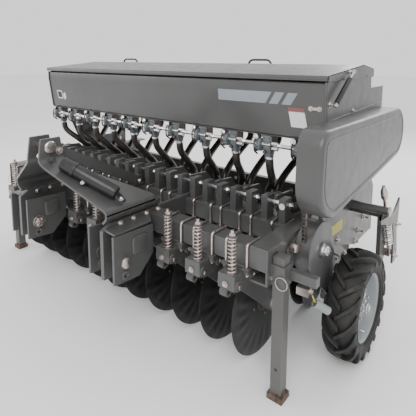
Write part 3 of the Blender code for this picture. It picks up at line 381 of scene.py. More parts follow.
class Shape:
    """Gathers the points and faces of one piece from simple solids."""

    def __init__(self):
        self.points = []
        self.faces = []

    def rings(self, rings, caps=True, loop=False):
        """Skin a list of closed rings that all have the same number of points."""
        start = len(self.points)
        count = len(rings[0])
        for ring in rings:
            self.points.extend(tuple(p) for p in ring)
        last = len(rings) if loop else len(rings) - 1
        for i in range(last):
            a = start + i * count
            b = start + ((i + 1) % len(rings)) * count
            for j in range(count):
                k = (j + 1) % count
                self.faces.append((a + j, a + k, b + k, b + j))
        if caps and not loop:
            self.faces.append(tuple(start + j for j in range(count)))
            end = start + (len(rings) - 1) * count
            self.faces.append(tuple(end + j for j in reversed(range(count))))

    def box(self, low, high, round_off=0.0):
        low, high = Vector(low), Vector(high)
        outline = rounded_rectangle((low.y, low.z), (high.y, high.z), round_off)
        self.plate(outline, low.x, high.x)

    def plate(self, outline, x_low, x_high):
        """A flat (y, z) outline between two X planes."""
        self.rings([[(x, y, z) for y, z in outline] for x in (x_low, x_high)])

    def ring(self, centre, axis, radius, sides):
        side, up = across(axis)
        turn = 2 * math.pi / sides
        return [Vector(centre) + side * (radius * math.cos(turn * i)) + up * (radius * math.sin(turn * i))
                for i in range(sides)]

    def rod(self, start, end, radius, end_radius=None, sides=16):
        start, end = Vector(start), Vector(end)
        last = radius if end_radius is None else end_radius
        axis = end - start
        self.rings([self.ring(start, axis, radius, sides), self.ring(end, axis, last, sides)])

    def lathe(self, profile, origin, axis=(1, 0, 0), steps=32, closed=False):
        """Turn (radius, along) points about an axis; a closed profile makes a ring."""
        axis = Vector(axis).normalized()
        rings = [self.ring(Vector(origin) + axis * along, axis, max(radius, 1e-5), steps) for radius,
                 along in profile]
        self.rings(rings, caps=not closed, loop=closed)

    def tube(self, points, radius, sides=10, caps=True, ridge=0.0):
        """A round tube along a path, turned as little as possible from ring to ring."""
        points = [Vector(p) for p in points]
        rings = []
        side = None
        for i, point in enumerate(points):
            ahead = points[min(i + 1, len(points) - 1)] - points[max(i - 1, 0)]
            ahead.normalize()
            if side is None:
                side, _ = across(ahead)
            side = (side - ahead * side.dot(ahead)).normalized()
            up = ahead.cross(side)
            size = radius + (ridge if i % 2 else 0.0)
            turn = 2 * math.pi / sides
            rings.append([point + side * (size * math.cos(turn * j)) + up * (size * math.sin(turn * j))
                          for j in range(sides)])
        self.rings(rings, caps=caps)

    def coil(self, start, end, radius, wire, turns, steps=14, sides=7):
        start, end = Vector(start), Vector(end)
        side, up = across(end - start)
        path = []
        for i in range(turns * steps + 1):
            angle = 2 * math.pi * i / steps
            path.append(start.lerp(end,
                                   i / (turns * steps))
                                   + side * (radius * math.cos(angle)) + up * (radius * math.sin(angle)))
        self.tube(path, wire, sides)

    def washer(self, centre, axis, radius, thick):
        axis = Vector(axis).normalized()
        self.rod(Vector(centre), Vector(centre) + axis * thick, radius, sides=18)

    def nut(self, centre, axis, radius, thick):
        """Hexagon with a chamfered outer face."""
        axis = Vector(axis).normalized()
        centre = Vector(centre)
        rings = [self.ring(centre + axis * along, axis, radius * size, 6)
                 for along, size in ((0.0, 1.0), (thick * 0.84, 1.0), (thick, 0.86))]
        self.rings(rings)

    def bolt(self, centre, axis, radius=0.009, stud=0.0):
        """Washer and hexagon head, with a stud end when asked for."""
        axis = Vector(axis).normalized()
        centre = Vector(centre)
        self.washer(centre, axis, radius * 1.45, radius * 0.20)
        self.nut(centre + axis * radius * 0.20, axis, radius, radius * 0.80)
        if stud:
            self.rod(centre + axis * radius, centre + axis * (radius + stud), radius * 0.52, sides=10)

    def castle_nut(self, centre, axis, radius, thick):
        axis = Vector(axis).normalized()
        centre = Vector(centre)
        self.nut(centre, axis, radius, thick * 0.65)
        side, up = across(axis)
        for i in range(6):
            angle = math.pi / 3 * i
            place = centre + (side * math.cos(angle) + up * math.sin(angle)) * radius * 0.66
            self.rod(place + axis * thick * 0.6, place + axis * thick, radius * 0.22, sides=6)
        self.rod(centre, centre + axis * thick * 1.15, radius * 0.5, sides=12)
        self.rod(centre + axis * thick * 0.85 - side * radius,
                 centre + axis * thick * 0.85 + side * radius * 1.15,
                 radius * 0.09, sides=6)


def rounded_rectangle(low, high, radius, steps=4):
    if radius <= 0:
        return [low, (high[0], low[1]), high, (low[0], high[1])]
    outline = []
    corners = ((high[0] - radius, high[1] - radius, 0), (low[0] + radius, high[1] - radius, 90),
               (low[0] + radius, low[1] + radius, 180), (high[0] - radius, low[1] + radius, 270))
    for y, z, start in corners:
        for i in range(steps + 1):
            angle = math.radians(start + 90 * i / steps)
            outline.append((y + radius * math.cos(angle), z + radius * math.sin(angle)))
    return outline


def fillet(points, radius, steps=5):
    """Round every inner corner of a path; works for points of any dimension."""
    points = [Vector(p) for p in points]
    path = [points[0]]
    for before, corner, after in zip(points, points[1:], points[2:]):
        back, ahead = before - corner, after - corner
        reach = min(radius, back.length * 0.45, ahead.length * 0.45)
        start = corner + back.normalized() * reach
        end = corner + ahead.normalized() * reach
        for i in range(steps + 1):
            t = i / steps
            path.append(start * (1 - t) ** 2 + corner * 2 * t * (1 - t) + end * t * t)
    path.append(points[-1])
    return path


def smooth_path(points, count):
    """Points on a Catmull-Rom curve through the given points."""
    path = [Vector(points[0])] + [Vector(p) for p in points] + [Vector(points[-1])]
    spans = len(points) - 1
    result = []
    for i in range(count + 1):
        place = min(i * spans / count, spans - 1e-9)
        k = int(place)
        t = place - k
        a, b, c, d = path[k:k + 4]
        result.append(0.5 * (2 * b + (c - a) * t + (2 * a - 5 * b + 4 * c - d) * t * t
                             + (3 * b - a - 3 * c + d) * t ** 3))
    return result


def belt(circles, steps=40):
    """The tight outline around circles given as (y, z, radius)."""
    points = set()
    for y, z, radius in circles:
        for i in range(steps):
            angle = 2 * math.pi * i / steps
            points.add((round(y + radius * math.cos(angle), 6), round(z + radius * math.sin(angle), 6)))
    points = sorted(points)
    hull = []
    for order in (points, points[::-1]):
        chain = []
        for point in order:
            while len(chain) > 1 and turn_of(chain[-2], chain[-1], point) <= 1e-9:
                chain.pop()
            chain.append(point)
        hull += chain[:-1]
    return hull


def turn_of(a, b, c):
    return (b[0] - a[0]) * (c[1] - a[1]) - (b[1] - a[1]) * (c[0] - a[0])


def belt_ring(circles, inset, x, steps=28):
    """A ring with a fixed number of points: each circle gives the same angles at any inset."""
    full = belt(circles, steps)
    ring = []
    for y, z in full:
        best = min(circles, key=lambda c: abs(math.hypot(y - c[0], z - c[1]) - c[2]))
        reach = math.hypot(y - best[0], z - best[1])
        scale = (reach - inset) / reach
        ring.append((x, best[0] + (y - best[0]) * scale, best[1] + (z - best[1]) * scale))
    return ring


def piece(name, shape, look, body="frame", replaces=(), sharp=38, place=None):
    """Make the object, put it in the row frame, and say what it rides on and stands for."""
    mesh = bpy.data.meshes.new(name)
    mesh.from_pydata([tuple(p) for p in shape.points], [], shape.faces)
    work = bmesh.new()
    work.from_mesh(mesh)
    bmesh.ops.recalc_face_normals(work, faces=work.faces)
    work.to_mesh(mesh)
    work.free()
    mesh.shade_smooth()
    mesh.set_sharp_from_angle(angle=math.radians(sharp))
    mesh.materials.append(look)
    return placed(name, mesh, body, replaces, place)


def placed(name, mesh, body, replaces=(), place=None):
    made = bpy.data.objects.new(name, mesh)
    bpy.context.scene.collection.objects.link(made)
    made.location = OFFSET + (Vector(place) if place is not None else Vector((0, 0, 0)))
    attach(made, body)
    if replaces:
        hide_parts(*replaces)
    return made


def sheet_section(profile, thickness):
    """Close a (y, z) path into the outline of a bent sheet; it thickens to the right of the path."""
    path = [Vector(p) for p in profile]
    inner = []
    for i, point in enumerate(path):
        ahead = path[min(i + 1, len(path) - 1)] - path[max(i - 1, 0)]
        normal = Vector((ahead.y, -ahead.x)).normalized()
        inner.append(point + normal * thickness)
    return [tuple(p) for p in path] + [tuple(p) for p in reversed(inner)]


# ------------------------------------------------------------------------ the hopper
def hopper_front_y(z):
    return 0.336 + max(0.0, 1.150 - z) * 0.13


def hopper_front():
    path = fillet([(0.360, 1.1955), (0.3362, 1.1945), (0.336, 1.150), (0.362, 0.951), (0.378, 0.951)], 0.016,
                  6)
    shape = Shape()
    outline = sheet_section(path, -0.0035)
    shape.plate(outline, -HOPPER_HALF, HOPPER_HALF)
    piece("hopper_front_skin", shape, PAINT_SOFT, replaces=["hopper_front_panel"], sharp=50)


def lid():
    profile = [(0.326, 1.2005), (0.326, 1.222), (0.740, 1.262), (0.898, 1.240), (0.898, 1.2005)]
    path = fillet(profile, 0.012, 6)
    shape = Shape()
    shape.plate(sheet_section(path, 0.0026), -LID_HALF, LID_HALF)
    for side in (-1, 1):
        low, high = sorted((side * LID_HALF, side * (LID_HALF - 0.0026)))
        shape.plate([tuple(p) for p in path], low, high)
        shape.rod((side * LID_HALF, 0.335, 1.2135), (side * (LID_HALF + 0.003), 0.335, 1.2135), 0.006,
                  sides=12)
    piece("lid_skin", shape, PAINT_SOFT, "lid", replaces=["hopper_lid"], sharp=50)
    hem = Shape()
    hem.box((-LID_HALF + 0.012, 0.3236, 1.2012), (LID_HALF - 0.012, 0.3262, 1.2052))
    piece("lid_front_hem", hem, PAINT, "lid")
    grips = Shape()
    for x in (-0.780, 0.380):
        y, low, high = 0.876, 1.2405, 1.2815
        path = fillet([(x - 0.088, y, low), (x - 0.064, y, high), (x + 0.064, y, high), (x + 0.088, y, low)],
                      0.020, 6)
        grips.tube(path, 0.0062, 12)
        for end in (-0.088, 0.088):
            grips.rod((x + end, y, 1.241), (x + end, y, 1.2495), 0.0115, 0.0085, 14)
    piece("lid_grips", grips, BLACK, "lid")
    rivets = Shape()
    for side in (-1, 1):
        for y in (0.42, 0.60, 0.80):
            rivets.lathe([(0.0055, 0.0), (0.0045, 0.0015), (0.0, 0.0024)], (side * LID_HALF, y, 1.209),
                         (side, 0, 0), 12)
    piece("lid_rivets", rivets, PAINT, "lid")


def gas_strut():
    along = (STRUT_HIGH - STRUT_LOW).normalized()
    tube = Shape()
    tube.lathe([(0.007, 0.010), (0.011, 0.013), (0.0115, 0.020), (0.0115, 0.168), (0.0105, 0.176),
                (0.0062, 0.1775)],
               STRUT_LOW, along, 24)
    piece("strut_tube", tube, BLACK, "strut_barrel")
    foot = Shape()
    foot.rod((1.0256, *STRUT_LOW.yz), (1.0585, *STRUT_LOW.yz), 0.0062, sides=14)
    foot.lathe([(0.004, -0.010), (0.009, -0.006), (0.009, 0.006), (0.004, 0.014)], STRUT_LOW, along, 16)
    foot.bolt((1.0250, *STRUT_LOW.yz), (1, 0, 0), 0.009)
    piece("strut_foot_ball", foot, ZINC, "strut_barrel")
    eye = Shape()
    eye.lathe([(0.004, -0.014), (0.0085, -0.008), (0.0085, 0.006), (0.004, 0.009)], STRUT_HIGH, along, 16)
    piece("strut_eye", eye, ZINC, "strut_rod")
    stud = Shape()
    stud.bolt((LID_HALF, STRUT_HIGH.y, STRUT_HIGH.z), (1, 0, 0), 0.0085)
    piece("strut_lid_stud", stud, ZINC, "lid")


def hopper_details():
    ridge = Shape()
    for side in (-1, 1):
        face = side * 1.025
        ridge.tube([(face, 0.372, 1.036), (face, 0.70, 1.048), (face, 1.084, 1.062)], 0.0026, 8)
        ridge.tube([(face, 0.356, 0.962), (face, 0.343, 1.148), (face, 0.340, 1.192)], 0.0024, 8)
    piece("hopper_end_creases", ridge, PAINT)
    bolts = Shape()
    for side in (-1, 1):
        for y, z in ((0.644, 1.055), (0.644, 1.018), (0.430, 0.975), (0.900, 0.975)):
            bolts.bolt((side * 1.025, y, z), (side, 0, 0), 0.0075)
    for x in (0.956, 0.994):
        z = 1.086
        bolts.bolt((x, hopper_front_y(z), z), (0, -1, 0), 0.0075)
    bolts.box((0.950, hopper_front_y(1.086) - 0.003, 1.080), (1.000, hopper_front_y(1.086) + 0.001, 1.092))
    piece("hopper_bolts", bolts, ZINC)
    seams = Shape()
    for x in (-0.340, 0.340):
        seams.box((x - 0.012, 0.8812, 1.150), (x + 0.012, 0.8872, 1.194))
    for x in (-0.68, -0.34, 0.0, 0.34, 0.68):
        seams.box((x - 0.014, 1.0865, 1.006), (x + 0.014, 1.0925, 1.134), 0.002)
    piece("hopper_back_ribs", seams, PAINT)


def sticker(name, look, corners, lift=0.0):
    """A blank film on the hopper's front, from (x, z) corners."""
    shape = Shape()
    rings = []
    for out in (0.0002, 0.0009 + lift):
        rings.append([(x, hopper_front_y(z) - out, z) for x, z in corners])
    shape.rings(rings)
    return piece(name, shape, look)


def stickers():
    lean = 0.034
    low, high = 1.094, 1.146
    for name, start, end in (("a", 0.482, 0.742), ("b", 0.760, 0.803), ("c", 0.822, 0.866)):
        first = 0.0 if name == "a" else lean
        sticker("hopper_stripe_" + name, SLATE, [(start, low), (end, low), (end + lean, high),
                                                 (start + first, high)])
    sticker("warning_plate", WHITE, [(0.866, 0.999), (0.940, 0.999), (0.926, 1.084), (0.852, 1.084)])
    sticker("warning_header", RED, [(0.855, 1.066), (0.929, 1.066), (0.926, 1.084), (0.852, 1.084)], 0.0004)
    sticker("small_plate", WHITE, [(-0.944, 1.010), (-0.884, 1.010), (-0.890, 1.066), (-0.950, 1.066)])
    sticker("small_plate_field", INK_AND_HOLE_SHADE, [(-0.938, 1.018), (-0.892, 1.018), (-0.896, 1.058), (-0.942, 1.058)],
            0.0004)
    round_one = [(-0.862 + 0.016 * math.cos(a * math.pi / 12),
                  1.030 + 0.024 * math.sin(a * math.pi / 12)) for a in range(24)]
    sticker("oval_sticker", WHITE, round_one)
    label = Shape()
    label.plate([(0.508, 0.463), (0.706, 0.452), (0.706, 0.508), (0.530, 0.508)], PLATE_FACE,
                PLATE_FACE + 0.0008)
    piece("chain_label", label, YELLOW)
    dot = Shape()
    dot.lathe([(0.0135, 0.0), (0.0135, 0.0008)], (0.881, 0.2617, 0.672), (0, -1, 0), 24)
    piece("post_sticker", dot, WHITE)


# ---------------------------------------------------------------------- seed metering
def seed_cups():
    bodies = Shape()
    trim = Shape()
    hoses = Shape()
    bright = Shape()
    for row in range(ROWS):
        x = cup_x(row)
        cup_body(bodies, x)
        cup_trim(trim, bright, x)
        front_hose(hoses, bright, row)
    trim.nut((cup_x(0) - 0.056, *SHAFT), (1, 0, 0), 0.014, 0.012)
    bright.rod((cup_x(0) - 0.050, *SHAFT), (1.0225, *SHAFT), 0.0095, sides=6)
    piece("seed_cup_bodies", bodies, CUP, replaces=["seed_cup_row"])
    piece("seed_cup_trim", trim, DARK_STEEL)
    piece("seed_shaft_and_screws", bright, BRIGHT)
    piece("seed_hoses", hoses, HOSE)


def cup_body(shape, x):
    levels = ((0.0, 0.030, 0.034), (-0.007, 0.030, 0.034), (-0.009, 0.023, 0.030), (-0.052, 0.023, 0.032),
              (-0.070, 0.021, 0.028), (-0.086, 0.018, 0.021), (-0.112, 0.0155, 0.0165))
    rings = []
    for drop, half_x, half_y in levels:
        outline = rounded_rectangle((-half_x, -half_y), (half_x, half_y), min(half_x, half_y) * 0.55, 3)
        rings.append([(x + a, CUP_Y + 0.002 + b, CUP_TOP + drop) for a, b in outline])
    shape.rings(rings)
    shape.lathe([(0.012, -0.044), (0.027, -0.042), (0.028, -0.026), (0.020, -0.022)],
                (x, SHAFT[0] + 0.004, SHAFT[1] - 0.004),
                (1, 0, 0), 24)
    for i in range(12):
        angle = math.pi / 6 * i
        y = SHAFT[0] + 0.004 + 0.0275 * math.cos(angle)
        z = SHAFT[1] - 0.004 + 0.0275 * math.sin(angle)
        shape.rod((x - 0.041, y, z), (x - 0.028, y, z), 0.0034, sides=6)


def cup_trim(trim, bright, x):
    strap = [(x - 0.052, CUP_Y - 0.010, 0.944), (x - 0.052, CUP_Y - 0.034, 0.940),
             (x - 0.052, CUP_Y - 0.048, 0.912),
             (x - 0.052, CUP_Y - 0.044, 0.874), (x - 0.050, CUP_Y - 0.020, 0.856)]
    trim.tube(fillet(strap, 0.010, 3), 0.0042, 6)
    trim.box((x - 0.057, CUP_Y - 0.030, 0.868), (x - 0.048, CUP_Y + 0.012, 0.944), 0.006)
    trim.box((x + 0.024, CUP_Y - 0.036, 0.900), (x + 0.034, CUP_Y + 0.018, 0.9455), 0.006)
    bright.bolt((x - 0.050, CUP_Y - 0.036, 0.938), (0, -1, 0), 0.0088)
    for z in (SHAFT[1] + 0.011, SHAFT[1] - 0.012):
        bright.rod((x + 0.036, SHAFT[0] - 0.012, z), (x + 0.064, SHAFT[0] - 0.012, z), 0.0088, sides=14)
    bright.lathe([(0.018, -0.001), (0.0205, 0.0), (0.0205, 0.008), (0.018, 0.009)], (x, CUP_Y + 0.003, 0.838),
                 (0, 0, 1), 20)
    bright.box((x + 0.010, CUP_Y - 0.022, 0.838), (x + 0.024, CUP_Y - 0.012, 0.847))
    trim.rod((x - 0.006, CUP_Y - 0.036, 0.872), (x - 0.006, CUP_Y - 0.010, 0.872), 0.008, sides=10)


def front_hose(hoses, bright, row):
    cx, rx = cup_x(row), row_x(row)
    points = [(cx, CUP_Y + 0.003, 0.846), (cx * 0.96 + rx * 0.04, CUP_Y + 0.020, 0.780),
              ((cx + rx) / 2 + 0.010, 0.470, 0.700), (rx - 0.026, 0.570, 0.610), (rx - 0.026, 0.600, 0.530)]
    path = smooth_path(points, 96)
    hoses.tube(path, HOSE_RADIUS, 14, ridge=0.0011)
    bright.tube(path[3:6], HOSE_RADIUS + 0.0024, 14)
    bright.tube(path[86:89], HOSE_RADIUS + 0.0024, 14)


def rear_meters():
    bodies = Shape()
    hoses = Shape()
    rings = Shape()
    for row in range(ROWS):
        cx, rx = cup_x(row), row_x(row)
        levels = ((0.0, 0.0249, 0.035), (-0.010, 0.0249, 0.035), (-0.012, 0.021, 0.030),
                  (-0.056, 0.021, 0.028), (-0.078, 0.016, 0.017))
        stack = []
        for drop, half_x, half_y in levels:
            outline = rounded_rectangle((-half_x, -half_y), (half_x, half_y), 0.008, 3)
            stack.append([(cx + a, REAR_METER_Y + b, CUP_TOP + drop) for a, b in outline])
        bodies.rings(stack)
        bodies.lathe([(0.010, -0.024), (0.020, -0.022), (0.020, 0.022), (0.010, 0.024)],
                     (cx, REAR_METER_Y, CUP_TOP - 0.040), (1, 0, 0), 18)
        points = [(cx, REAR_METER_Y, CUP_TOP - 0.070), (cx, REAR_METER_Y - 0.010, 0.820),
                  ((cx + rx) / 2, 0.680, 0.730), (rx + 0.034, 0.560, 0.650), (rx + 0.034, 0.540, 0.560)]
        path = smooth_path(points, 96)
        hoses.tube(path, HOSE_RADIUS, 14, ridge=0.0011)
        rings.tube(path[2:5], HOSE_RADIUS + 0.0022, 14)
    rings.rod((cup_x(0) - 0.027, REAR_METER_Y, CUP_TOP - 0.040), (cup_x(ROWS - 1) + 0.027, REAR_METER_Y,
            CUP_TOP - 0.040), 0.0088, sides=6)
    piece("rear_meter_bodies", bodies, CUP, replaces=["rear_meter_row"])
    piece("rear_hoses", hoses, HOSE)
    piece("rear_meter_shaft", rings, ZINC)


# ------------------------------------------------------------------------- the hitch
def mast_arms():
    stations = [(0.339, 0.6123, -0.245, 0.070), (0.372, 0.640, -0.248, 0.050), (0.372, 0.676, -0.250, 0.020),
                (0.075, 0.828, -0.340, -0.225), (0.050, 0.850, -0.350, -0.232),
                (0.050, 0.945, -0.335, -0.245)]
    for name, side in (("left", -1), ("right", 1)):
        path = fillet([Vector(s) for s in stations], 0.030, 6)
        shape = Shape()
        rings = []
        for i, station in enumerate(path):
            ahead = path[min(i + 1, len(path) - 1)] - path[max(i - 1, 0)]
            inward = Vector((-ahead[1], ahead[0])).normalized() * MAST_WALL
            x, z, front, rear = station
            ring = []
            for depth in (0.0, 1.0):
                ends = ((front, rear) if depth == 0.0 else (rear, front))
                for y in ends:
                    ring.append((side * (x + inward.x * depth), y, z + inward.y * depth))
            rings.append(ring)
        shape.rings(rings)
        arm = piece("mast_arm_%s_skin" % name, shape, PAINT, replaces=["mast_arm_" + name], sharp=50)
        holes = Shape()
        for z, radius in ((MAST_PIN[1], 0.0128), (MAST_PIN[1] - 0.052, 0.0115)):
            holes.rod((side * 0.030, MAST_PIN[0], z), (side * 0.080, MAST_PIN[0], z), radius, sides=24)
        drill(arm, holes)


def drill(target, holes):
    """Cut a shape out of a piece, and throw the cutter away."""
    mesh = bpy.data.meshes.new("cutter")
    mesh.from_pydata([tuple(p) for p in holes.points], [], holes.faces)
    work = bmesh.new()
    work.from_mesh(mesh)
    bmesh.ops.recalc_face_normals(work, faces=work.faces)
    work.to_mesh(mesh)
    work.free()
    cutter = bpy.data.objects.new("cutter", mesh)
    bpy.context.scene.collection.objects.link(cutter)
    cutter.location = OFFSET
    bpy.context.view_layer.update()
    modifier = target.modifiers.new("holes", "BOOLEAN")
    modifier.operation = "DIFFERENCE"
    modifier.object = cutter
    seen = target.evaluated_get(bpy.context.evaluated_depsgraph_get())
    made = bpy.data.meshes.new_from_object(seen)
    target.modifiers.clear()
    target.data = made
    made.shade_smooth()
    made.set_sharp_from_angle(angle=math.radians(40))
    bpy.data.objects.remove(cutter, do_unlink=True)


def hitch_details():
    pads = Shape()
    for centre in (-BEAM_X, BEAM_X):
        for way in (-1, 1):
            face = centre + way * (HITCH_SPREAD + 0.006)
            outline = rounded_rectangle((-0.169, 0.481), (-0.089, 0.555), 0.012, 5)
            inner = rounded_rectangle((-0.166, 0.484), (-0.092, 0.552), 0.010, 5)
            rings = [[(face + way * out, y, z) for y, z in line]
                     for out, line in ((0.0, outline), (0.0068, outline), (0.0084, inner))]
            pads.rings(rings)
    piece("hitch_pads", pads, PAINT)
    bolts = Shape()
    for y in (-0.162, -0.089, -0.013, 0.058):
        for side in (-1, 1):
            bolts.bolt((side * 0.349, y, 0.5965), (side, 0, 0), 0.0105, 0.004)
            bolts.bolt((side * 0.329, y, 0.5965), (-side, 0, 0), 0.0095)
    bolts.bolt((0.0505, -0.252, 0.884), (1, 0, 0), 0.0125)
    bolts.bolt((-0.0505, -0.252, 0.884), (-1, 0, 0), 0.0125)
    bolts.bolt((0.040, 0.222, 0.632), (1, 0, 0), 0.0105)
    bolts.bolt((-0.0325, 0.222, 0.632), (-1, 0, 0), 0.0105)
    piece("hitch_bolts", bolts, ZINC)
    pins = Shape()
    right_face = BEAM_X + HITCH_SPREAD + 0.006
    pins.lathe([(0.0235, 0.0005), (0.0235, 0.008), (0.021, 0.0125), (0.012, 0.0155), (0.0, 0.0165)],
               (right_face, *PIN), (1, 0, 0), 28)
    left_face = -BEAM_X + HITCH_SPREAD + 0.006
    pins.washer((left_face, *PIN), (1, 0, 0), 0.031, 0.003)
    pins.castle_nut((left_face + 0.003, *PIN), (1, 0, 0), 0.0245, 0.021)
    for centre in (-BEAM_X, BEAM_X):
        face = centre - HITCH_SPREAD - 0.006
        pins.washer((face, *PIN), (-1, 0, 0), 0.026, 0.003)
        pins.rod((face - 0.012, PIN[0] - 0.020, PIN[1] + 0.002),
                 (face - 0.012, PIN[0] + 0.020, PIN[1] - 0.002), 0.002, sides=8)
    piece("hitch_pin_heads", pins, ZINC)
    collars = Shape()
    for centre in (-BEAM_X, BEAM_X):
        for offset in (-HITCH_SPREAD, HITCH_SPREAD):
            for way in (-1, 1):
                face = centre + offset + way * 0.006
                for z, inner, outer in ((SPARE_Z, 0.0112, 0.0195), (PIN[1], 0.0115, 0.0265)):
                    collars.lathe([(inner, 0.0002), (outer, 0.0002), (outer - 0.001, 0.0042),
                                   (inner, 0.0048)],
                                  (face, PIN[0], z), (way, 0, 0), 28, closed=True)
    piece("hitch_collars", collars, PAINT)
    top = Shape()
    top.lathe([(0.0275, 0.0), (0.0275, 0.009), (0.0235, 0.013), (0.0, 0.0150)], (0.0506, *MAST_PIN),
              (1, 0, 0), 28)
    top.tube([(-0.062, MAST_PIN[0] - 0.018, MAST_PIN[1]), (-0.062, MAST_PIN[0] + 0.020, MAST_PIN[1])], 0.0022,
             8)
    piece("top_pin_head", top, ZINC)
    gusset = Shape()
    for side in (-1, 1):
        edge = side * (BEAM_X + 0.012)
        ring = [(edge, -0.246, 0.5885), (edge, 0.0, 0.5885), (side * 0.4190, -0.052, 0.5865),
                (side * 0.4190, -0.250, 0.5865)]
        gusset.rings([[Vector(p) + Vector((0, 0, lift)) for p in ring] for lift in (0.0, 0.008)])
    piece("hitch_gussets", gusset, PAINT)


def document_tube():
    start, end = Vector((0.1276, -0.272, 0.8372)), Vector((0.3376, -0.170, 0.7292))
    along = (end - start).normalized()
    length = (end - start).length
    body = Shape()
    body.lathe([(0.0, 0.046), (0.0285, 0.046), (0.0290, 0.060), (0.0290, length - 0.006), (0.0265, length),
                (0.0, length)],
               start, along, 36)
    piece("document_tube", body, BLACK, replaces=["manual_holder"])
    cap = Shape()
    steps = 44
    rings = []
    for place, size, depth in ((-0.014, 0.0, 0.0), (-0.014, 0.0275, 0.0), (-0.010, 0.0300, 0.0008),
                               (0.036, 0.0308, 0.0008),
                               (0.040, 0.0325, 0.0), (0.056, 0.0325, 0.0), (0.058, 0.0300, 0.0),
                               (0.058, 0.0, 0.0)):
        ring = cap.ring(start + along * place, along, max(size, 1e-4), steps)
        middle = start + along * place
        rings.append([middle + (p - middle) * (1.0 - (depth / size if size else 0) * (i % 2)) for i,
                      p in enumerate(ring)])
    cap.rings(rings)
    piece("document_tube_cap", cap, BLACK)
    tabs = Shape()
    down = Vector((0.40, 0.10, -0.90)).normalized()
    side, up = across(along)
    foot = end + along * 0.004
    ring = [foot + side * 0.020, foot - side * 0.020, foot - side * 0.014 + along * 0.028 + down * 0.020,
            foot + side * 0.014 + along * 0.028 + down * 0.020]
    tabs.rings([ring, [p + up * 0.004 for p in ring]])
    tabs.box((0.212, -0.252, 0.764), (0.236, -0.226, 0.778), 0.004)
    piece("document_tube_tabs", tabs, BLACK)
    screw = Shape()
    screw.bolt((0.362, -0.168, 0.7075), (0.45, 0.0, 0.89), 0.0075)
    screw.bolt((0.224, -0.256, 0.7725), (0.30, -0.60, 0.74), 0.0065)
    piece("document_tube_screws", screw, BRIGHT)


# ----------------------------------------------------------------- front row of tools
def u_bolt(shape, x, front, rear, top, low, wire):
    path = fillet([(x, front, low), (x, front, top), (x, rear, top), (x, rear, low)], 0.014, 5)
    shape.tube(path, wire, 10)
    for y in (front, rear):
        shape.nut((x, y, low + 0.012), (0, 0, -1), wire * 1.75, wire * 1.3)


def front_clamps():
    bolts = Shape()
    castings = Shape()
    springs = Shape()
    caps = Shape()
    for row in FREE_ROWS:
        x = row_x(row)
        for offset in (-0.040, 0.055):
            u_bolt(bolts, x + offset, -0.0068, BAR + 0.0068, BAR_TOP + 0.0062, 0.462 if offset < 0 else 0.478,
                   0.0056)
        clamp_casting(castings, x)
        springs.coil((x + 0.015, -0.045, 0.500), (x + 0.015, -0.045, 0.634), 0.0155, 0.0030, 9)
        springs.rod((x + 0.015, -0.045, 0.485), (x + 0.015, -0.045, 0.664), 0.0072, sides=12)
        caps.washer((x + 0.015, -0.045, 0.635), (0, 0, 1), 0.0195, 0.0035)
        caps.nut((x + 0.015, -0.045, 0.6425), (0, 0, 1), 0.0125, 0.010)
        caps.washer((x + 0.015, -0.045, 0.4965), (0, 0, 1), 0.0195, 0.004)
        caps.bolt((x + 0.0455, 0.046, 0.470), (1, 0, 0), 0.0135, 0.006)
        caps.bolt((x + 0.0455, -0.045, 0.452), (1, 0, 0), 0.0095)
        caps.bolt((x - 0.0305, 0.046, 0.470), (-1, 0, 0), 0.0120, 0.004)
        caps.bolt((x + 0.004, -0.0735, 0.4600), (0, -1, 0), 0.0085)
    piece("u_bolts_front", bolts, ZINC)
    piece("clamp_castings", castings, CAST)
    piece("coulter_springs", springs, ZINC)
    piece("coulter_spring_nuts", caps, ZINC)


def clamp_casting(shape, x):
    """Lugs, lobes and the shackle eye that make the bracket read as a casting."""
    shape.lathe([(0.010, -0.046), (0.022, -0.046), (0.024, -0.040), (0.024, 0.052), (0.022, 0.058),
                 (0.010, 0.058)],
                (x, 0.046, 0.470), (1, 0, 0), 20)
    shape.lathe([(0.0, -0.036), (0.020, -0.036), (0.0215, -0.030), (0.0215, 0.044), (0.020, 0.0495),
                 (0.0, 0.0495)],
                (x, -0.048, 0.456), (1, 0, 0), 20)
    shape.lathe([(0.009, -0.016), (0.020, -0.016), (0.020, 0.016), (0.009, 0.016)],
                (x - 0.004, -0.058, 0.424), (1, 0, 0), 20, closed=True)
    shape.lathe([(0.0, 0.478), (0.024, 0.478), (0.026, 0.484), (0.026, 0.492), (0.022, 0.4955),
                 (0.0, 0.4955)],
                (x + 0.015, -0.045, 0.0), (0, 0, 1), 22)
    for offset in (-0.040, 0.055):
        shape.box((x + offset - 0.014, -0.020, 0.498), (x + offset + 0.014, 0.100, 0.5135), 0.005)
        shape.rod((x + offset, -0.0068, 0.490), (x + offset, -0.0068, 0.500), 0.014, sides=14)
        shape.rod((x + offset, BAR + 0.0068, 0.490), (x + offset, BAR + 0.0068, 0.500), 0.014, sides=14)
    shape.box((x - 0.036, -0.004, 0.4950), (x + 0.051, 0.088, 0.5150), 0.006)


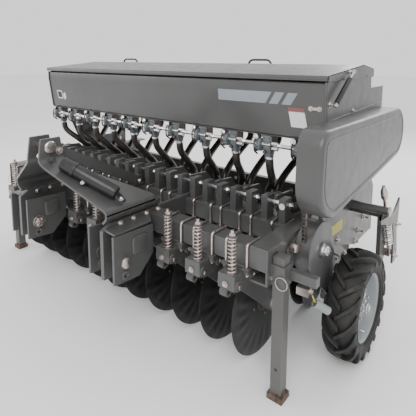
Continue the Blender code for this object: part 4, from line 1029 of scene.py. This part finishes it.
def coulters():
    disc = fluted_disc()
    hub = coulter_hub()
    nuts = Shape()
    boots = Shape()
    for row in range(ROWS):
        x = row_x(row)
        number = "%02d" % (row + 1)
        body = "coulter_disc_" + number
        place = (x + COULTER_SHIFT, *COULTER)
        placed("fluted_disc_" + number, disc, body, [body], place)
        placed("coulter_hub_" + number, hub, body, (), place)
        nuts.washer((x + 0.030, *COULTER), (1, 0, 0), 0.026, 0.004)
        nuts.castle_nut((x + 0.034, *COULTER), (1, 0, 0), 0.0205, 0.018)
        boots.lathe([(0.013, 0.0), (0.035, 0.002), (0.037, 0.006), (0.030, 0.0105)], (x - 0.0012, *COULTER),
                    (1, 0, 0), 28)
        top = (-0.012, 0.462) if row in FREE_ROWS else (0.020, 0.478)
        boots.lathe([(0.0, -0.002), (0.030, -0.002), (0.0315, 0.002), (0.0315, 0.018), (0.030, 0.022),
                     (0.0, 0.022)],
                    (x + 0.010, *top), (1, 0, 0), 28)
    piece("coulter_axle_nuts", nuts, ZINC)
    piece("coulter_arm_bosses", boots, PAINT)


def fluted_disc():
    """A wavy coulter: flutes start past the hub plate and swirl a little towards the rim."""
    shape = Shape()
    shares = (0.190, 0.286, 0.371, 0.429, 0.486, 0.543, 0.600, 0.667, 0.738, 0.810, 0.867, 0.914, 0.952,
              0.983, 1.0)
    radii = [0.0135] + [share * COULTER_RADIUS for share in shares]
    waves, steps = 20, 140

    def height(radius, angle):
        share = radius / COULTER_RADIUS
        rise = min(max((share - 0.50) / 0.19, 0.0), 1.0)
        rise = rise * rise * (3 - 2 * rise)
        fade = 1.0 - 0.85 * min(max((share - 0.76) / 0.21, 0.0), 1.0)
        return 0.0017 * rise * fade * math.sin(waves * angle + 8.0 * (share - 0.50))

    def thickness(radius):
        return 0.0023 - 0.0019 * max(radius / COULTER_RADIUS - 0.914, 0.0) / 0.086

    rings = []
    for face, order in ((1, radii), (-1, radii[::-1])):
        for radius in order:
            ring = []
            for i in range(steps):
                angle = 2 * math.pi * i / steps
                ring.append((height(radius, angle) + face * thickness(radius), radius * math.cos(angle),
                             radius * math.sin(angle)))
            rings.append(ring)
    shape.rings(rings, loop=True)
    mesh = bpy.data.meshes.new("fluted_disc")
    mesh.from_pydata(shape.points, [], shape.faces)
    fix_normals(mesh, 60)
    mesh.materials.append(DISC)
    return mesh


def fix_normals(mesh, sharp):
    work = bmesh.new()
    work.from_mesh(mesh)
    bmesh.ops.recalc_face_normals(work, faces=work.faces)
    work.to_mesh(mesh)
    work.free()
    mesh.shade_smooth()
    mesh.set_sharp_from_angle(angle=math.radians(sharp))


def coulter_hub():
    shape = Shape()
    shape.lathe([(0.0135, -0.012), (0.028, -0.012), (0.034, -0.006), (0.052, -0.005), (0.052, 0.005),
                 (0.034, 0.006),
                 (0.028, 0.014), (0.0135, 0.014)], (0, 0, 0), (1, 0, 0), 32, closed=True)
    for i in range(5):
        angle = 2 * math.pi * i / 5 + 0.4
        y, z = 0.0435 * math.cos(angle), 0.0435 * math.sin(angle)
        for way in (-1, 1):
            shape.bolt((way * 0.005, y, z), (way, 0, 0), 0.0065)
    for i in range(4):
        angle = math.pi / 2 * i + 0.2
        y, z = 0.078 * math.cos(angle), 0.078 * math.sin(angle)
        for way in (-1, 1):
            shape.lathe([(0.0075, 0.0), (0.0065, 0.003), (0.003, 0.005), (0.0, 0.0055)], (way * 0.0022, y, z),
                        (way, 0, 0), 12)
    mesh = bpy.data.meshes.new("coulter_hub")
    mesh.from_pydata([tuple(p) for p in shape.points], [], shape.faces)
    fix_normals(mesh, 38)
    mesh.materials.append(DARK_STEEL)
    return mesh


# ------------------------------------------------------------------ rear row of tools
def rear_clamps():
    bolts = Shape()
    pins = Shape()
    springs = Shape()
    rods = Shape()
    shims = Shape()
    for row in range(ROWS):
        x = row_x(row)
        near_beam = is_beam_row(row)
        for offset in (0.014, 0.074) if row else (-0.058, 0.014, 0.074):
            place = x + offset
            if abs(abs(place) - BEAM_X) < 0.020 or place > 0.955:
                continue
            u_bolt(bolts, place, REAR_BAR_Y - 0.0066, REAR_BAR_Y + BAR + 0.0066, BAR_TOP + 0.0058, 0.500,
                   0.0052)
            shims.box((place - 0.012, REAR_BAR_Y - 0.016, 0.5075), (place + 0.012, REAR_BAR_Y + BAR + 0.016,
                    0.5155), 0.002)
        pins.rod((x - 0.0195, 0.310, 0.668), (x + 0.0355, 0.310, 0.668), 0.0142, sides=24)
        pins.bolt((x + 0.0662, 0.310, 0.668), (1, 0, 0), 0.0115, 0.003)
        pins.bolt((x - 0.0502, 0.310, 0.668), (-1, 0, 0), 0.0105)
        springs.coil((x + 0.051, 0.330, 0.640), (x + 0.051, 0.520, 0.622), 0.0165, 0.0034, 12)
        rods.rod((x + 0.051, 0.322, 0.641), (x + 0.051, 0.548, 0.619), 0.0065, sides=12)
        rods.washer((x + 0.051, 0.522, 0.622), (0, 1, -0.09), 0.0200, 0.004)
        rods.nut((x + 0.051, 0.527, 0.6215), (0, 1, -0.09), 0.012, 0.010)
        if not near_beam:
            rods.box((x - 0.0065, 0.330, 0.6995), (x + 0.0065, 0.356, 0.7010))
    piece("u_bolts_rear", bolts, ZINC)
    piece("opener_pins", pins, BRIGHT)
    piece("opener_springs", springs, DARK_STEEL)
    piece("opener_spring_rods", rods, DARK_STEEL)
    piece("clamp_plates_rear", shims, SHADE)


def openers():
    """Bevelled discs, hub caps and boots over the plain opener discs."""
    discs = {}
    for side in (-1, 1):
        shape = Shape()
        profile = [(0.020, 0.0031), (0.070, 0.0031), (0.150, 0.0031), (0.164, 0.0028),
                   (OPENER_RADIUS, 0.0006),
                   (OPENER_RADIUS, -0.0006), (0.164, -0.0028), (0.150, -0.0031), (0.070, -0.0031),
                   (0.020, -0.0031)]
        shape.lathe(profile, (0, 0, 0), (1, 0, 0), 56, closed=True)
        mesh = bpy.data.meshes.new("opener_disc")
        mesh.from_pydata([tuple(p) for p in shape.points], [], shape.faces)
        fix_normals(mesh, 40)
        mesh.materials.append(DISC)
        discs[side] = mesh
    caps = Shape()
    boots = Shape()
    for row in range(ROWS):
        x = row_x(row)
        for side in (-1, 1):
            name = "opener_disc_%02d_%s" % (row + 1, "left" if side < 0 else "right")
            made = placed(name, discs[side], "frame", (), (x + OPENER_SPLAY * side, *OPENER))
            made.rotation_euler = (0, 0, math.radians(OPENER_TOE) * side)
            axis = Vector((side, math.sin(math.radians(OPENER_TOE)), 0)).normalized()
            face = Vector((x + OPENER_SPLAY * side, *OPENER)) + axis * 0.003
            caps.lathe([(0.040, 0.0), (0.038, 0.004), (0.024, 0.008), (0.022, 0.018), (0.014, 0.021),
                        (0.0, 0.0215)],
                       face, axis, 28)
            for i in range(5):
                angle = 2 * math.pi * i / 5
                place = face + Vector((0, 0.050 * math.cos(angle), 0.050 * math.sin(angle)))
                caps.nut(place, axis, 0.006, 0.005)
        boots.tube(smooth_path([(x - 0.010, 0.600, 0.535), (x - 0.004, 0.650, 0.400), (x, 0.715, 0.230),
                                (x, 0.735, 0.130)], 14),
                   0.0115, 10)
        boots.bolt((x + 0.0142, 0.670, 0.380), (1, 0, 0), 0.009)
    piece("opener_hubs", caps, CAST)
    piece("opener_boots", boots, SHADE)


def press_wheels():
    tyre = Shape()
    tyre.lathe([(0.112, 0.020), (0.120, 0.0245), (0.136, 0.0258), (0.148, 0.0215), (PRESS_RADIUS, 0.013),
                (PRESS_RADIUS, 0.005),
                (PRESS_RADIUS - 0.004, 0.0025), (PRESS_RADIUS - 0.004, -0.0025), (PRESS_RADIUS, -0.005),
                (PRESS_RADIUS, -0.013),
                (0.148, -0.0215), (0.136, -0.0258), (0.120, -0.0245), (0.112, -0.020), (0.108, 0.0)],
                (0, 0, 0), (1, 0, 0), 56,
               closed=True)
    rim = Shape()
    rim.lathe([(0.0108, 0.020), (0.026, 0.020), (0.028, 0.008), (0.060, 0.006), (0.092, 0.010),
               (0.104, 0.018), (0.114, 0.0235),
               (0.117, 0.021), (0.1125, 0.015), (0.1125, -0.015), (0.117, -0.021), (0.114, -0.0235),
               (0.104, -0.018),
               (0.092, 0.006), (0.060, 0.002), (0.028, 0.004), (0.026, -0.020), (0.0108, -0.020)], (0, 0, 0),
               (1, 0, 0), 48,
              closed=True)
    for i in range(6):
        angle = math.pi / 3 * i
        rim.bolt((0.0075, 0.046 * math.cos(angle), 0.046 * math.sin(angle)), (1, 0, 0), 0.006)
    meshes = []
    for name, shape, look in (("press_tyre", tyre, PRESS_RUBBER), ("press_rim", rim, PAINT)):
        mesh = bpy.data.meshes.new(name)
        mesh.from_pydata([tuple(p) for p in shape.points], [], shape.faces)
        fix_normals(mesh, 40)
        mesh.materials.append(look)
        meshes.append(mesh)
    nuts = Shape()
    for row in range(ROWS):
        body = "press_wheel_%02d" % (row + 1)
        place = (row_x(row), *PRESS)
        placed("press_tyre_%02d" % (row + 1), meshes[0], body, [body], place)
        placed("press_rim_%02d" % (row + 1), meshes[1], body, (), place)
        nuts.bolt((row_x(row) + 0.0462, *PRESS), (1, 0, 0), 0.011, 0.004)
        nuts.bolt((row_x(row) - 0.0345, *PRESS), (-1, 0, 0), 0.010)
        nuts.bolt((row_x(row) + 0.0462, 0.670, 0.380), (1, 0, 0), 0.011)
    piece("press_wheel_nuts", nuts, ZINC)


# ------------------------------------------------------------------------ drive train
UPPER_GUARD = [(0.235, 0.845, 0.150), (0.160, 0.970, 0.070), (1.060, 0.905, 0.130)]


def upper_guard():
    """Pressed cover: rounded shoulder, then a raised bead around a flat field."""
    face = GUARD_X + GUARD_DEPTH
    outer = [(0.0, GUARD_X), (0.0, face - 0.016), (0.0018, face - 0.009), (0.006, face - 0.0035),
             (0.012, face - 0.0008),
             (0.019, face), (0.026, face), (0.0285, face - 0.0022), (0.032, face - 0.0036),
             (0.0355, face - 0.0022), (0.038, face)]
    inner = [(inset + 0.0024, x - 0.0024) for inset, x in outer[1:]]
    rings = [belt_ring(UPPER_GUARD, inset, x) for inset, x in outer]
    rings += [belt_ring(UPPER_GUARD, inset, x) for inset, x in reversed(inner)]
    rings.append(belt_ring(UPPER_GUARD, 0.0024, GUARD_X))
    walls = Shape()
    walls.rings(rings, loop=True)
    # The skin is a closed ring, so the flat middle is a thin plate of its own.
    field = Shape()
    field.rings([belt_ring(UPPER_GUARD, 0.0375, face - 0.0026),
                 belt_ring(UPPER_GUARD, 0.0375, face - 0.0002)])
    walls.points, walls.faces = merge(walls, field)
    piece("upper_guard_skin", walls, PAINT, replaces=["upper_chain_guard"], sharp=30)


def merge(first, second):
    shift = len(first.points)
    faces = first.faces + [tuple(i + shift for i in face) for face in second.faces]
    return first.points + second.points, faces


def lower_guard():
    nut = Shape()
    face = 1.045
    nut.lathe([(0.030, 0.0), (0.030, 0.006), (0.026, 0.009)], (face, 0.300, 0.520), (1, 0, 0), 28)
    piece("lower_guard_hub", nut, PAINT)
    bright = Shape()
    bright.washer((face + 0.009, 0.300, 0.520), (1, 0, 0), 0.024, 0.003)
    bright.castle_nut((face + 0.012, 0.300, 0.520), (1, 0, 0), 0.0215, 0.022)
    piece("lower_guard_nut", bright, BRIGHT)
    rim = Shape()
    outline = belt([(0.300, 0.520, 0.115), (0.440, 0.300, 0.050)], 44)
    inner = belt_ring([(0.300, 0.520, 0.115), (0.440, 0.300, 0.050)], 0.0045, face, 44)
    rim.rings([[(face - 0.0086, y, z) for y, z in outline], [(face + 0.0006, y, z) for y, z in outline],
               [(face + 0.0022, p[1], p[2]) for p in inner]])
    piece("lower_guard_face", rim, PAINT)
    drum = Shape()
    drum.lathe([(0.1120, 0.0), (0.1120, face - 0.0090 - PLATE_FACE), (0.1085, face - 0.0080 - PLATE_FACE)],
               (PLATE_FACE + 0.0004, 0.300, 0.520), (1, 0, 0), 64)
    piece("lower_guard_drum", drum, PAINT_SOFT)


def chain_path():
    """Runs of chain between the drive sprocket below and the shaft sprocket above."""
    low, high = (0.300, 0.520, 0.090), (0.240, 0.860, 0.052)
    span = math.hypot(high[0] - low[0], high[1] - low[1])
    lean = math.atan2(high[1] - low[1], high[0] - low[0])
    off = math.acos((low[2] - high[2]) / span)
    path = []
    steps = 18
    for centre, start, end in ((low, lean + off, lean - off + 2 * math.pi), (high, lean - off, lean + off)):
        for i in range(steps + 1):
            angle = start + (end - start) * i / steps
            path.append(Vector((centre[0] + centre[2] * math.cos(angle),
                                centre[1] + centre[2] * math.sin(angle))))
    return path + [path[0]]


def chain():
    path = chain_path()
    lengths = [(b - a).length for a, b in zip(path, path[1:])]
    total = sum(lengths)
    pitch = 0.0159
    count = 2 * int(total / pitch / 2)
    points = []
    for i in range(count):
        left = total * i / count
        for (a, b), length in zip(zip(path, path[1:]), lengths):
            if left <= length:
                points.append(a.lerp(b, left / length))
                break
            left -= length
    shape = Shape()
    x = 1.013
    for i, point in enumerate(points):
        following = points[(i + 1) % count]
        half = 0.0085 if i % 2 else 0.0066
        shape.rod((x - 0.0090, *point), (x + 0.0090, *point), 0.0026, sides=8)
        shape.rod((x - 0.0050, *point), (x + 0.0050, *point), 0.0050, sides=10)
        outline = belt([(point.x, point.y, 0.0066), (following.x, following.y, 0.0066)], 12)
        for way in (-1, 1):
            shape.plate(outline, *sorted((x + way * half, x + way * (half - 0.0016))))
    piece("drive_chain", shape, DARK_STEEL)
    sprocket = Shape()
    teeth = 20
    outline = []
    for i in range(teeth * 4):
        angle = 2 * math.pi * i / (teeth * 4)
        radius = (0.050, 0.056, 0.056, 0.050)[i % 4]
        outline.append((0.240 + radius * math.cos(angle), 0.860 + radius * math.sin(angle)))
    sprocket.plate(outline, x - 0.0030, x + 0.0030)
    sprocket.rod((0.990, 0.240, 0.860), (1.060, 0.240, 0.860), 0.020, sides=20)
    piece("shaft_sprocket", sprocket, DARK_STEEL)


def side_details():
    bar = Shape()
    bar.box((1.0210, 0.064, 0.4850), (1.1290, 0.096, 0.5210), 0.003)
    piece("side_bar", bar, PAINT)
    idler = Shape()
    idler.lathe([(0.0, 0.0), (0.017, 0.0), (0.019, 0.004), (0.019, 0.022), (0.015, 0.027), (0.0, 0.028)],
                (PLATE_FACE, 0.164, 0.562), (1, 0, 0), 24)
    piece("idler_boss", idler, ZINC)
    bolts = Shape()
    for y, z, stud in ((0.949, 0.362, 0.020), (0.911, 0.315, 0.006), (1.020, 0.420, 0.022),
                       (0.760, 0.600, 0.010)):
        bolts.bolt((PLATE_FACE, y, z), (1, 0, 0), 0.0125, stud)
    bolts.bolt((PLATE_FACE, 0.645, 0.420), (1, 0, 0), 0.011)
    for x in (-0.6, -0.2, 0.2, 0.6):
        bolts.bolt((x, 0.900, 0.520), (0, -1, 0), 0.0095)
    for side in (-1, 1):
        for y in (0.60, 0.90):
            bolts.bolt((side * 0.962, y, 0.640), (-side, 0, 0), 0.009)
    piece("side_bolts", bolts, ZINC)
    # near-black discs where the adjuster holes are: painted shade standing in for the open holes
    holes = Shape()
    for i in range(4):
        for y in (0.800, 0.845):
            holes.lathe([(0.0042, 0.0), (0.0042, 0.0006)], (PLATE_FACE, y + 0.004 * i, 0.665 - 0.034 * i),
                        (1, 0, 0), 12)
    holes.lathe([(0.0060, 0.0), (0.0060, 0.0006)], (0.998, 0.0294, 0.128), (0, -1, 0), 16)
    piece("adjuster_holes_painted_shade", holes, INK_AND_HOLE_SHADE)
    zinc_bits = Shape()
    zinc_bits.box((1.000, 0.176, 0.366), (1.052, 0.224, 0.400), 0.003)
    zinc_bits.bolt((1.052, 0.200, 0.383), (1, 0, 0), 0.009)
    piece("chain_tensioner", zinc_bits, ZINC)
    tube_end = Shape()
    tube_end.lathe([(0.0125, 0.0), (0.0165, 0.0), (0.0165, 0.072), (0.0125, 0.072)], (1.075, 0.182, 0.356),
                   (0.55, 0.62, -0.56), 24, closed=True)
    piece("tensioner_tube", tube_end, RIM)
    clip = Shape()
    clip.tube(fillet([(1.068, 0.176, 0.386), (1.076, 0.178, 0.366), (1.080, 0.190, 0.352)], 0.006, 3), 0.0030,
              8)
    piece("tensioner_clip", clip, YELLOW)
    link = Shape()
    link.rings([[(1.020, 0.200, 0.395), (1.020, 0.230, 0.360), (1.020, 0.330, 0.300), (1.020, 0.340, 0.330),
                 (1.020, 0.240, 0.420)],
                [(1.032, 0.200, 0.395), (1.032, 0.230, 0.360), (1.032, 0.330, 0.300), (1.032, 0.340, 0.330),
                 (1.032, 0.240, 0.420)]])
    piece("tensioner_link", link, PAINT)


def stand_details():
    for name, side in (("left", -1), ("right", 1)):
        lock = Shape()
        x = side * 0.998
        front = 0.052 - 0.0225 - 0.0065
        lock.rod((x - side * 0.024, front - 0.006, 0.4935), (x - side * 0.024, front + 0.004, 0.4935), 0.0075,
                 sides=14)
        ring = []
        for i in range(25):
            angle = 2 * math.pi * i / 24
            ring.append((x + side * (0.020 + 0.024 * math.cos(angle)), front - 0.007,
                         0.4865 + 0.024 * math.sin(angle)))
        lock.tube(ring, 0.0018, 8)
        piece("stand_pin_" + name, lock, ZINC)
        cap = Shape()
        cap.box((x - 0.0205, 0.0315, 0.574), (x + 0.0205, 0.0725, 0.5765), 0.002)
        piece("stand_cap_" + name, cap, STAND, "stand_" + name)


def wheel_suspension():
    foot, head = Vector((1.155, 0.900, 0.330)), Vector((1.155, 0.735, 0.700))
    coil = Shape()
    coil.coil(foot.lerp(head, 0.10), foot.lerp(head, 0.52), 0.0190, 0.0046, 11, 16, 8)
    piece("wheel_spring_coil", coil, BRIGHT)
    ends = Shape()
    along = (head - foot).normalized()
    ends.lathe([(0.0085, 0.198), (0.0220, 0.198), (0.0220, 0.205), (0.0085, 0.206)], foot, along, 24)
    ends.lathe([(0.0, 0.0), (0.0215, 0.0), (0.0215, 0.020), (0.0170, 0.024)], foot, along, 24)
    length = (head - foot).length
    ends.lathe([(0.009, length - 0.075), (0.0155, length - 0.072), (0.0165, length - 0.046),
                (0.012, length - 0.040),
                (0.0165, length - 0.036), (0.0130, length - 0.020), (0.006, length - 0.006), (0.0, length)],
                foot, along, 24)
    piece("wheel_spring_ends", ends, ZINC)
    bracket = Shape()
    bracket.plate([(0.640, 0.590), (0.640, 0.566), (0.860, 0.540), (0.958, 0.590), (0.948, 0.500),
                   (0.930, 0.430), (0.960, 0.300),
                   (0.925, 0.262), (0.885, 0.262), (0.880, 0.400), (0.850, 0.480), (0.640, 0.548)], 1.1705,
                   1.1795)
    piece("suspension_bracket", bracket, SHADE)
    tube = Shape()
    tube.rod((0.985, 0.757, 0.575), (1.176, 0.757, 0.575), 0.0200, sides=24)
    piece("suspension_cross_tube", tube, PAINT)
    cross = Shape()
    cross.lathe([(0.0, 0.0), (0.024, 0.0), (0.024, 0.008), (0.012, 0.012), (0.0, 0.0125)],
                (1.1795, 0.757, 0.575), (1, 0, 0), 24)
    cross.bolt((1.1795, 0.930, 0.460), (1, 0, 0), 0.0100, 0.010)
    cross.bolt((1.1795, 0.905, 0.300), (1, 0, 0), 0.0120, 0.006)
    piece("suspension_pivot", cross, ZINC)


# ------------------------------------------------------------------------ drive wheel
def drive_tyre():
    shape = Shape()
    shape.lathe([(0.1385, 0.040), (0.146, 0.0545), (0.160, 0.0635), (0.178, 0.0665), (0.194, 0.0645),
                 (0.204, 0.0570), (0.2095, 0.044),
                 (0.2125, 0.022), (0.2135, 0.0), (0.2125, -0.022), (0.2095, -0.044), (0.204, -0.0570),
                 (0.194, -0.0645),
                 (0.178, -0.0665), (0.160, -0.0635), (0.146, -0.0545), (0.1385, -0.040)], (0, 0, 0),
                 (1, 0, 0), 72, closed=True)
    for inset in (0.1545, 0.1690):
        for side in (-1, 1):
            at = side * (0.0606 if inset < 0.16 else 0.0652)
            shape.lathe([(inset - 0.002, 0.0), (inset, side * 0.0018), (inset + 0.002, 0.0)], (at, 0, 0),
                        (1, 0, 0), 72, closed=True)
    top_line = [(-0.008, 0.2310), (0.010, 0.2318), (0.028, 0.2310), (0.044, 0.2285), (0.056, 0.2235),
                (0.0645, 0.2150), (0.0690, 0.2040),
                (0.0698, 0.1920), (0.0685, 0.1830)]
    base_line = [(-0.008, 0.2100), (0.010, 0.2105), (0.028, 0.2095), (0.042, 0.2070), (0.050, 0.2035),
                 (0.0555, 0.1990), (0.0590, 0.1930),
                 (0.0610, 0.1860), (0.0620, 0.1800)]
    lugs = 17
    sweep = math.radians(23)
    for side in (-1, 1):
        for i in range(lugs):
            start = 2 * math.pi * (i + (0.5 if side > 0 else 0.0)) / lugs
            rings = []
            for k, ((tx, tr), (bx, br)) in enumerate(zip(top_line, base_line)):
                angle = start + sweep * min(k / 5.5, 1.12)
                half_top = (0.0080 + 0.0006 * k) / tr
                half_base = (0.0115 + 0.0006 * k) / br
                rings.append([wheel_point(side * bx, br, angle - half_base),
                              wheel_point(side * tx, tr, angle - half_top),
                              wheel_point(side * tx, tr, angle + half_top),
                              wheel_point(side * bx, br, angle + half_base)])
            shape.rings(rings)
    piece("lugged_tyre", shape, TREAD, "drive_wheel", ["drive_wheel_tyre"], 34, TYRE)


def wheel_point(x, radius, angle):
    """Angle 0 is the front of the wheel and grows upwards."""
    return (x, -radius * math.cos(angle), radius * math.sin(angle))


def drive_rim():
    shape = Shape()
    shape.lathe([(0.0132, 0.034), (0.028, 0.034), (0.031, 0.014), (0.050, 0.010), (0.062, 0.018),
                 (0.085, 0.022), (0.105, 0.014),
                 (0.122, 0.006), (0.129, 0.016), (0.133, 0.042), (0.138, 0.049), (0.146, 0.0535),
                 (0.1495, 0.0530), (0.1490, 0.0505),
                 (0.144, 0.0470), (0.1378, 0.0395), (0.1378, -0.0395), (0.144, -0.0470), (0.1490, -0.0505),
                 (0.1495, -0.0530),
                 (0.146, -0.0535), (0.138, -0.049), (0.131, -0.036), (0.120, -0.002), (0.100, 0.008),
                 (0.060, 0.010), (0.045, 0.002),
                 (0.031, -0.030), (0.0132, -0.030)], (0, 0, 0), (1, 0, 0), 72, closed=True)
    piece("dished_rim", shape, RIM, "drive_wheel", ["drive_wheel_rim"], 34, TYRE)
    bolts = Shape()
    for i in range(5):
        angle = 2 * math.pi * i / 5 + 0.3
        bolts.bolt((0.014, 0.054 * math.cos(angle), 0.054 * math.sin(angle)), (1, 0, 0), 0.0100, 0.014)
    bolts.lathe([(0.0040, 0.0), (0.0040, 0.030), (0.0025, 0.034), (0.0, 0.034)], (0.010, 0.0, -0.118),
                (1, 0, 0), 12)
    bolts.lathe([(0.0132, 0.034), (0.024, 0.034), (0.024, 0.040), (0.0132, 0.041)], (0, 0, 0), (1, 0, 0), 24,
                closed=True)
    piece("rim_bolts", bolts, BRIGHT, "drive_wheel", (), 38, TYRE)
    nut = Shape()
    nut.castle_nut((TYRE.x + 0.0415, TYRE.y, TYRE.z), (1, 0, 0), 0.019, 0.016)
    piece("drive_axle_nut", nut, BRIGHT)


# ------------------------------------------------------------- carried-over CAD nodes
def dress_frame():
    looks = {"parking_stand_left": STAND, "parking_stand_right": STAND, "top_link_pin": ZINC,
             "strut_rod": BRIGHT,
             "wheel_spring_rod": ZINC, "strut_barrel": BLACK, "rear_cross_beam": SHADE}
    for name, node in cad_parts.items():
        node.data.materials.clear()
        node.data.materials.append(looks.get(name, PAINT))


# ----------------------------------------------------------------- stage and camera
def stage():
    bpy.ops.mesh.primitive_plane_add(size=60, location=(0, 0, -0.0005))
    floor = bpy.context.object
    floor.name = "studio_floor"
    look = Look("studio_floor")
    base = look.mix(look.noise(0.6, 2.0), (0.90, 0.90, 0.90), (0.93, 0.93, 0.93))
    look.set(Roughness=0.9, Specular_IOR_Level=0.1)
    floor.data.materials.append(look.finish(base))
    world = bpy.data.worlds.new("studio")
    bpy.context.scene.world = world
    world.use_nodes = True
    background = world.node_tree.nodes["Background"]
    background.inputs["Color"].default_value = (1.0, 1.0, 1.0, 1.0)
    background.inputs["Strength"].default_value = 1.25
    soft_light("key", (2.6, -3.6, 4.2), 3.2, 175, (1.0, 0.985, 0.975))
    soft_light("fill", (-4.2, -2.8, 2.6), 3.0, 70, (1.0, 0.99, 0.985))
    soft_light("back", (0.5, 4.2, 3.4), 3.0, 110, (0.97, 0.98, 1.0))


def soft_light(name, place, size, power, colour):
    data = bpy.data.lights.new(name, "AREA")
    data.size = size
    data.energy = power
    data.color = colour
    lamp = bpy.data.objects.new(name, data)
    bpy.context.scene.collection.objects.link(lamp)
    lamp.location = place
    lamp.rotation_euler = (Vector((0, 0, 0.6)) - Vector(place)).to_track_quat("-Z", "Y").to_euler()


CAMERA_PLACE = Vector((1.667, -1.212, 1.290))
CAMERA_AZIMUTH, CAMERA_ELEVATION, CAMERA_ROLL = 38.815, 7.755, 0.150
CAMERA_LENS = 35.203
CAMERA_SHIFT = -0.2268  # the framing hangs well below the lens axis


def camera():
    azimuth, elevation, roll = (math.radians(a) for a in (CAMERA_AZIMUTH, CAMERA_ELEVATION, CAMERA_ROLL))
    back = Vector((math.sin(azimuth) * math.cos(elevation), -math.cos(azimuth) * math.cos(elevation),
                   math.sin(elevation)))
    right = (-back).cross(Vector((0, 0, 1))).normalized()
    up = right.cross(-back)
    rolled = right * math.cos(roll) + up * math.sin(roll)
    upright = up * math.cos(roll) - right * math.sin(roll)
    data = bpy.data.cameras.new("camera")
    data.lens = CAMERA_LENS
    data.sensor_width = 36.0
    data.shift_y = CAMERA_SHIFT
    view = bpy.data.objects.new("camera", data)
    bpy.context.scene.collection.objects.link(view)
    turn = Matrix((rolled, upright, back)).transposed().to_4x4()
    view.matrix_world = Matrix.Translation(CAMERA_PLACE + OFFSET) @ turn
    bpy.context.scene.camera = view


# ------------------------------------------------------------------------------ main
stage()
camera()
dress_frame()
hopper_front()
lid()
gas_strut()
hopper_details()
stickers()
seed_cups()
rear_meters()
mast_arms()
hitch_details()
document_tube()
front_clamps()
coulters()
rear_clamps()
openers()
press_wheels()
upper_guard()
lower_guard()
chain()
side_details()
stand_details()
wheel_suspension()
drive_tyre()
drive_rim()
